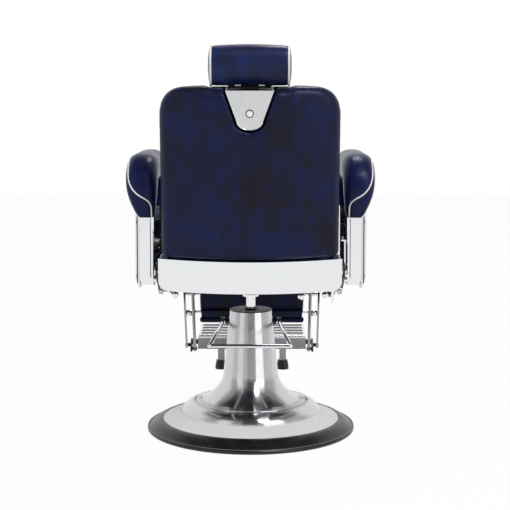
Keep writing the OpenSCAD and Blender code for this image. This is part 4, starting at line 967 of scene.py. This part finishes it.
def make_seat():
    """The seat cushion, crowned, with piping round its upper and lower edges."""
    low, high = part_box("seat_cushion")
    half, front, rear = high[0], low[1], high[1]
    bottom, top = low[2], high[2] - 0.012
    start, corner = 0.007, 0.038

    def section(d, radius, z):
        return upright(rounded_box(half - d, front + d, rear - d, radius), z)

    rings = [section(start + 0.004, 0.034, bottom)]
    rings += [section(start, corner, z) for z in np.linspace(bottom + 0.012, top - 0.026, 6)]
    for a in np.radians(np.linspace(15, 90, 6)):
        d = start + 0.022 * (1 - math.cos(a))
        rings.append(section(d, max(corner - d / 2, 0.012), top - 0.026 + 0.022 * math.sin(a)))
    face = rings[-1][:, :2]
    for s in (0.85, 0.6, 0.35, 0.12):
        rings.append(upright(shrunk(face, (front + rear) / 2, s), top - 0.003 * s * s))
    seat = loft("seat_upholstery", rings)
    puffed(seat, lambda co: co[:, 2] < bottom + 0.008, 4.0, 0.012, voxel=0.0068)
    for name, z in (("upper", top - 0.024), ("lower", bottom + 0.020)):
        piped("seat_piping_" + name, seat, section(0, 0.040, z), "seat")
    dress(seat, "seat", "navy_leather_pads", ["seat_cushion"])


def make_calf_pad():
    """The calf pad on its board, piped round its face."""
    board, half, start, corner = 0.008, 0.172, 0.0045, 0.022
    thick, root = 0.050 - board, -(0.010 + board)
    profile = [(start + 0.004, 0.0), (start, 0.010)]
    profile += [(start + 0.013 * (1 - math.cos(a)), thick - 0.014 + 0.010 * math.sin(a))
                for a in quarter(6)]

    def section(outline, out):
        return on_leg(np.column_stack([outline[:, 0], np.full(len(outline), root - out), outline[:, 1]]))

    def outline(inset):
        return rounded_box(half - inset, CALF_START + inset, CALF_START + CALF_COVER - inset, corner)

    rings = [section(outline(inset), out) for inset, out in profile]
    inset, out = profile[-1]
    rings += [section(shrunk(outline(inset), CALF_START + CALF_COVER / 2, s), out) for s in (0.8, 0.5, 0.2)]
    pad = loft("calf_upholstery", rings)
    puffed(pad, lambda co: depth_in(co, LEG_AXIS, LEG_ANGLE) > root - 0.005, 4.0, 0.006)
    piped("calf_piping", pad, section(outline(0.004), thick - 0.012), "legrest")
    dress(pad, "legrest", "navy_leather_pads", ["calf_pad"])


make_back_cover()
make_back_cushion()
make_headrest()
for arm_name, arm_side in SIDES:
    make_arm_pad(arm_name, arm_side)
make_seat()
make_calf_pad()


# --- Hardware --------------------------------------------------------------------------------------
# A turned piece ends in a ring of this radius, closed by one point
POLE_R = 0.0002


def make_plate_edges():
    """The rear plate's rolled edge, bright along the top, and the seat of its button."""
    line = shield_outline(0.0008, 0.0)
    rim = resample(back_ring(line, SHIELD_V + 0.0002), 160, True)
    trim("plate_edge", rim, 0.0009, "chrome", "back", closed=True)
    lip = on_back([(x, SHIELD_V - 0.0012, SHIELD_TOP - 0.0022) for x in np.linspace(-0.0645, 0.0645, 30)])
    trim("plate_lip", lip, 0.0026, "bright_chrome", "back", sides=20)
    a = turns(48)
    seat = np.stack([BUTTON_SEAT_R * np.cos(a), BUTTON_U + BUTTON_SEAT_R * np.sin(a)], 1)
    ring = back_ring(seat, SHIELD_V + 0.0003)
    trim("button_seat", ring, 0.0012, "steel", "back", closed=True)


def make_gap_shade_blocks():
    """Black rubber blocks on the back's top edge beside the opening, which fill the gap under the
    headrest's ends with painted shade.
    """
    arch = np.array([(0.010, 0.510), (0.010, 0.5262), (0.016, 0.5300), (0.020, 0.5320), (0.023, 0.5326),
                     (0.026, 0.5320), (0.030, 0.5300), (0.036, 0.5262), (0.040, 0.5225), (0.040, 0.510)])
    for name, side in SIDES:
        # black blocks as painted shade where the gap between the back and the headrest lies in shadow
        ends = [on_back(np.column_stack([np.full(len(arch), side * x), arch])) for x in (0.0608, 0.104)]
        dress(loft("rest_block_" + name, ends), "back", "black_rubber")


def make_ring_lip_highlight():
    """The moulded lip round the floor ring, in a light grey that paints the highlight along its edge."""
    a = turns(240)
    line = upright(np.stack([RING_LIP_R * np.cos(a), RING_LIP_R * np.sin(a)], 1), RING_LIP_Z)
    trim("ring_lip_painted_highlight", line, 0.0011, "lip_painted_highlight", "base", closed=True)


def make_band_bolts():
    """Domed bolts under the band."""
    facing = (0, -math.sin(BACK_LEAN), -math.cos(BACK_LEAN))
    points = on_back([(x, float(rear_v(x)) - 0.016, BAND_LOW - 0.0085) for x in (0.212, -0.144, -0.212)])
    heads_on("band_bolts", points, [facing] * len(points), "chrome", "back", "chrome", Radius=0.0088,
             Height=0.0100, Washer=1.15)


def make_calf_roll():
    """The leather rolled over the lower edge of the calf board."""
    half, r, end, middle, low = 0.170, 0.0095, 0.008, -0.013, CALF_START + CALF_LOW + 0.0075
    a = turns(28)
    ends = [(half - end + end * math.sin(t), max(r * math.cos(t), POLE_R)) for t in quarter(7)]
    rows = [(-x, k) for x, k in ends[::-1]]
    rows += [(x, r) for x in np.linspace(-half + 1.5 * end, half - 1.5 * end, 40)] + ends
    rings = [on_leg(np.stack([np.full_like(a, x), middle + k * np.cos(a), low + k * np.sin(a)], 1))
             for x, k in rows]
    roll = dress(loft("calf_edge_roll", rings), "legrest", "navy_leather")


def make_tread_lip():
    """The bright rolled edge along the footplate's rear."""
    low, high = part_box("footplate")
    line = [(x, high[1] - 0.0016, high[2] - 0.0008)
            for x in np.linspace(low[0] + 0.003, high[0] - 0.003, 30)]
    trim("tread_lip", line, 0.0024, "bright_chrome", "footrest", sides=16)


def make_arm_details(name, side):
    """A black line of painted shade down the rear of the arm's frame, where its inner corner lies in
    shadow, and the outer cover's dark lines and screws.
    """
    # a thin black cord along the inner edge of the frame's rear face: painted shade at its rounded inner
    # corner
    rear, inner = ARM_REAR + ARM_T / 2 + 0.0002, side * (ARM_IN + 0.0068)
    line = [(inner, rear, z) for z in np.linspace(ARM_BOTTOM + 0.030, ARM_JOINT - 0.003, 40)]
    trim("arm_joint_line_" + name, line, 0.0010, "black_plastic", "seat")
    shell = surface_of(bpy.data.objects["arm_cover_" + name])

    def on_cover(y, z):
        start = Vector((side * ARM_OUTSIDE, y, z))
        hit, normal, _, _ = shell.ray_cast(start, Vector((-side, 0, 0)))
        return np.array(hit), np.array(normal) * side * np.sign(normal[0])

    for end, y in (("rear", COVER_Y + COVER_PANEL / 2), ("front", COVER_Y - COVER_PANEL / 2)):
        line = [on_cover(y, z)[0] for z in np.linspace(ARM_JOINT - 0.002, ARM_BOTTOM + 0.002, 60)]
        trim("cover_line_" + end + "_" + name, smoothed(line, 2, closed=False), 0.0016, "black_plastic",
             "seat")
    middle = (ARM_BOTTOM + ARM_JOINT) / 2
    corners = [on_cover(COVER_Y + i * (COVER_PANEL / 2 - 0.022), middle + j * (COVER_HIGH / 2 - 0.022))
               for i in (1, -1) for j in (1, -1)]
    points, facing = zip(*corners)
    heads_on("cover_screws_" + name, points, facing, "brushed_steel", "seat", "brushed_steel",
             Radius=0.0052, Height=0.0016, Washer=1.3)


def make_rollers(name, side):
    """Dome-ended rollers that stand out inwards from the leg rest's side bars."""
    outline = [(POLE_R, 0.2125), (0.0050, 0.2120), (0.0088, 0.2100), (0.0104, 0.2070), (0.0104, 0.1935),
               (0.0092, 0.1915), (0.0085, 0.1880), (0.0060, 0.1868), (POLE_R, 0.1865)]
    a = turns(32)
    rings = [on_leg(np.stack([np.full_like(a, side * x), r * np.cos(a), ROLLER_S + r * np.sin(a)], 1))
             for r, x in outline[::side * -1]]
    dress(loft("leg_roller_" + name, rings), "legrest", "bright_chrome")


make_plate_edges()
make_gap_shade_blocks()
make_ring_lip_highlight()
make_band_bolts()
make_calf_roll()
make_tread_lip()
for part_name, part_side in SIDES:
    make_arm_details(part_name, part_side)
    make_rollers(part_name, part_side)




# --- Camera, floor and light -----------------------------------------------------------------------
# The camera as the photo gives it, in pixels, metres and degrees
FOCAL_PX = 1317.0
IMAGE_PX = 510
MIDDLE_PX = (250.8, 196)
SENSOR_WIDTH = 36.0
CAMERA_AT = (-0.035, 3.894, 1.007)
LOOKS_DOWN, LOOKS_ROUND = 4.54, -179.485

# Degrees from the camera towards the picture's right, and how bright the studio is there
STUDIO = [(-180, 1.0), (-100, 1.0), (-84, 0.75), (-80, 0.50), (-60, 0.55), (-56, 1.15), (-36, 1.05),
          (-30, 0.45), (-16, 0.40), (-13, 0.08), (21, 0.09), (25, 2.3), (56, 2.3), (60, 0.55), (100, 0.60),
          (120, 1.0), (180, 1.0)]
STUDIO_TOP = 3
CEILING = 0.04
FILL_LIGHT = 0.42
FLOOR_HALF = 9
FLOOR_WHITE = 1.03


def make_camera():
    """The camera that took the photo."""
    data = bpy.data.cameras.new("camera")
    data.sensor_width = SENSOR_WIDTH
    data.lens = SENSOR_WIDTH * FOCAL_PX / IMAGE_PX
    data.shift_x = (IMAGE_PX / 2 - MIDDLE_PX[0]) / IMAGE_PX
    data.shift_y = -(IMAGE_PX / 2 - MIDDLE_PX[1]) / IMAGE_PX
    camera = added("camera", data)
    camera.location = CAMERA_AT
    camera.rotation_euler = (math.radians(90 - LOOKS_DOWN), 0, math.radians(LOOKS_ROUND))
    bpy.context.scene.camera = camera
    bpy.context.scene.view_settings.view_transform = "Standard"


def studio():
    """White for the camera; a studio, dark behind the camera, for reflections; else plain light."""
    world = bpy.data.worlds.new("studio")
    world.use_nodes = True
    sky = Look.__new__(Look)
    sky.tree = world.node_tree
    shade = sky.tree.nodes["Background"]
    shade.inputs["Color"].default_value = (1, 1, 1, 1)
    ray = sky.node("ShaderNodeTexCoord", {}, {}, "Generated")
    x, y, z = (ray.part(i) for i in range(3))
    turn = sky.node("ShaderNodeMath", {"operation": "ARCTAN2"}, {0: x * -1.0, 1: y}) / math.tau + 0.5
    stops = [(degrees / 360 + 0.5, (*[level / STUDIO_TOP] * 3, 1)) for degrees, level in STUDIO]
    walls = sky.node("ShaderNodeValToRGB", {"stops": stops}, {"Fac": turn}) * STUDIO_TOP
    high = z.between(0.60, 0.84)
    seen = walls * (1 - high) + high * CEILING
    light, glossy = any_ray(sky, "Camera", "Transmission"), any_ray(sky, "Glossy")
    total = light + (1 - light) * (glossy * seen + (1 - glossy) * FILL_LIGHT)
    sky.tree.links.new(total.socket, shade.inputs["Strength"])
    bpy.context.scene.world = world


def floor_look():
    """White to the camera and in reflections, dull to other light."""
    look = Look("pale_floor", roughness=0.9, specular_ior_level=0.1)
    look.set(base_color=look.blend(look.noise(0.4) * 0.1, (0.55, 0.55, 0.55), (0.50, 0.50, 0.50)))
    shown = any_ray(look, "Camera", "Glossy", "Transmission")
    glow = look.node("ShaderNodeEmission", {}, {"Color": (1, 1, 1, 1), "Strength": FLOOR_WHITE})
    mix = look.node("ShaderNodeMixShader", {}, {0: shown * 0.93,
                                                1: Value(look, look.shader.outputs[0]), 2: glow})
    out = look.tree.nodes["Material Output"]
    look.tree.links.new(mix.socket, out.inputs[0])
    return look.material


def make_floor():
    """The pale floor that fills the picture's lower part."""
    corners = [(x * FLOOR_HALF, y * FLOOR_HALF, 0) for x, y in ((-1, -1), (1, -1), (1, 1), (-1, 1))]
    floor = mesh_object("floor", corners, [(0, 1, 2, 3)])
    floor.data.materials.append(floor_look())


def soft_box(name, place, aim, width, height, power):
    """A square lamp turned to its aim."""
    data = bpy.data.lights.new(name, "AREA")
    data.shape = "RECTANGLE"
    data.size, data.size_y = width, height
    data.energy = power
    box = added(name, data)
    box.location = place
    box.rotation_euler = (Vector(aim) - Vector(place)).to_track_quat("-Z", "Y").to_euler()
    return box


make_camera()
studio()
make_floor()
soft_box("key", (-1.5, 2.8, 4.0), (0, 0, 0.7), 1.2, 1.2, 75)
soft_box("left", (2.6, 3.2, 2.4), (0, 0, 0.6), 1.0, 1.6, 26).visible_glossy = False
soft_box("top", (-0.35, -1.2, 3.0), (0, 0, 0.4), 0.6, 0.6, 20)
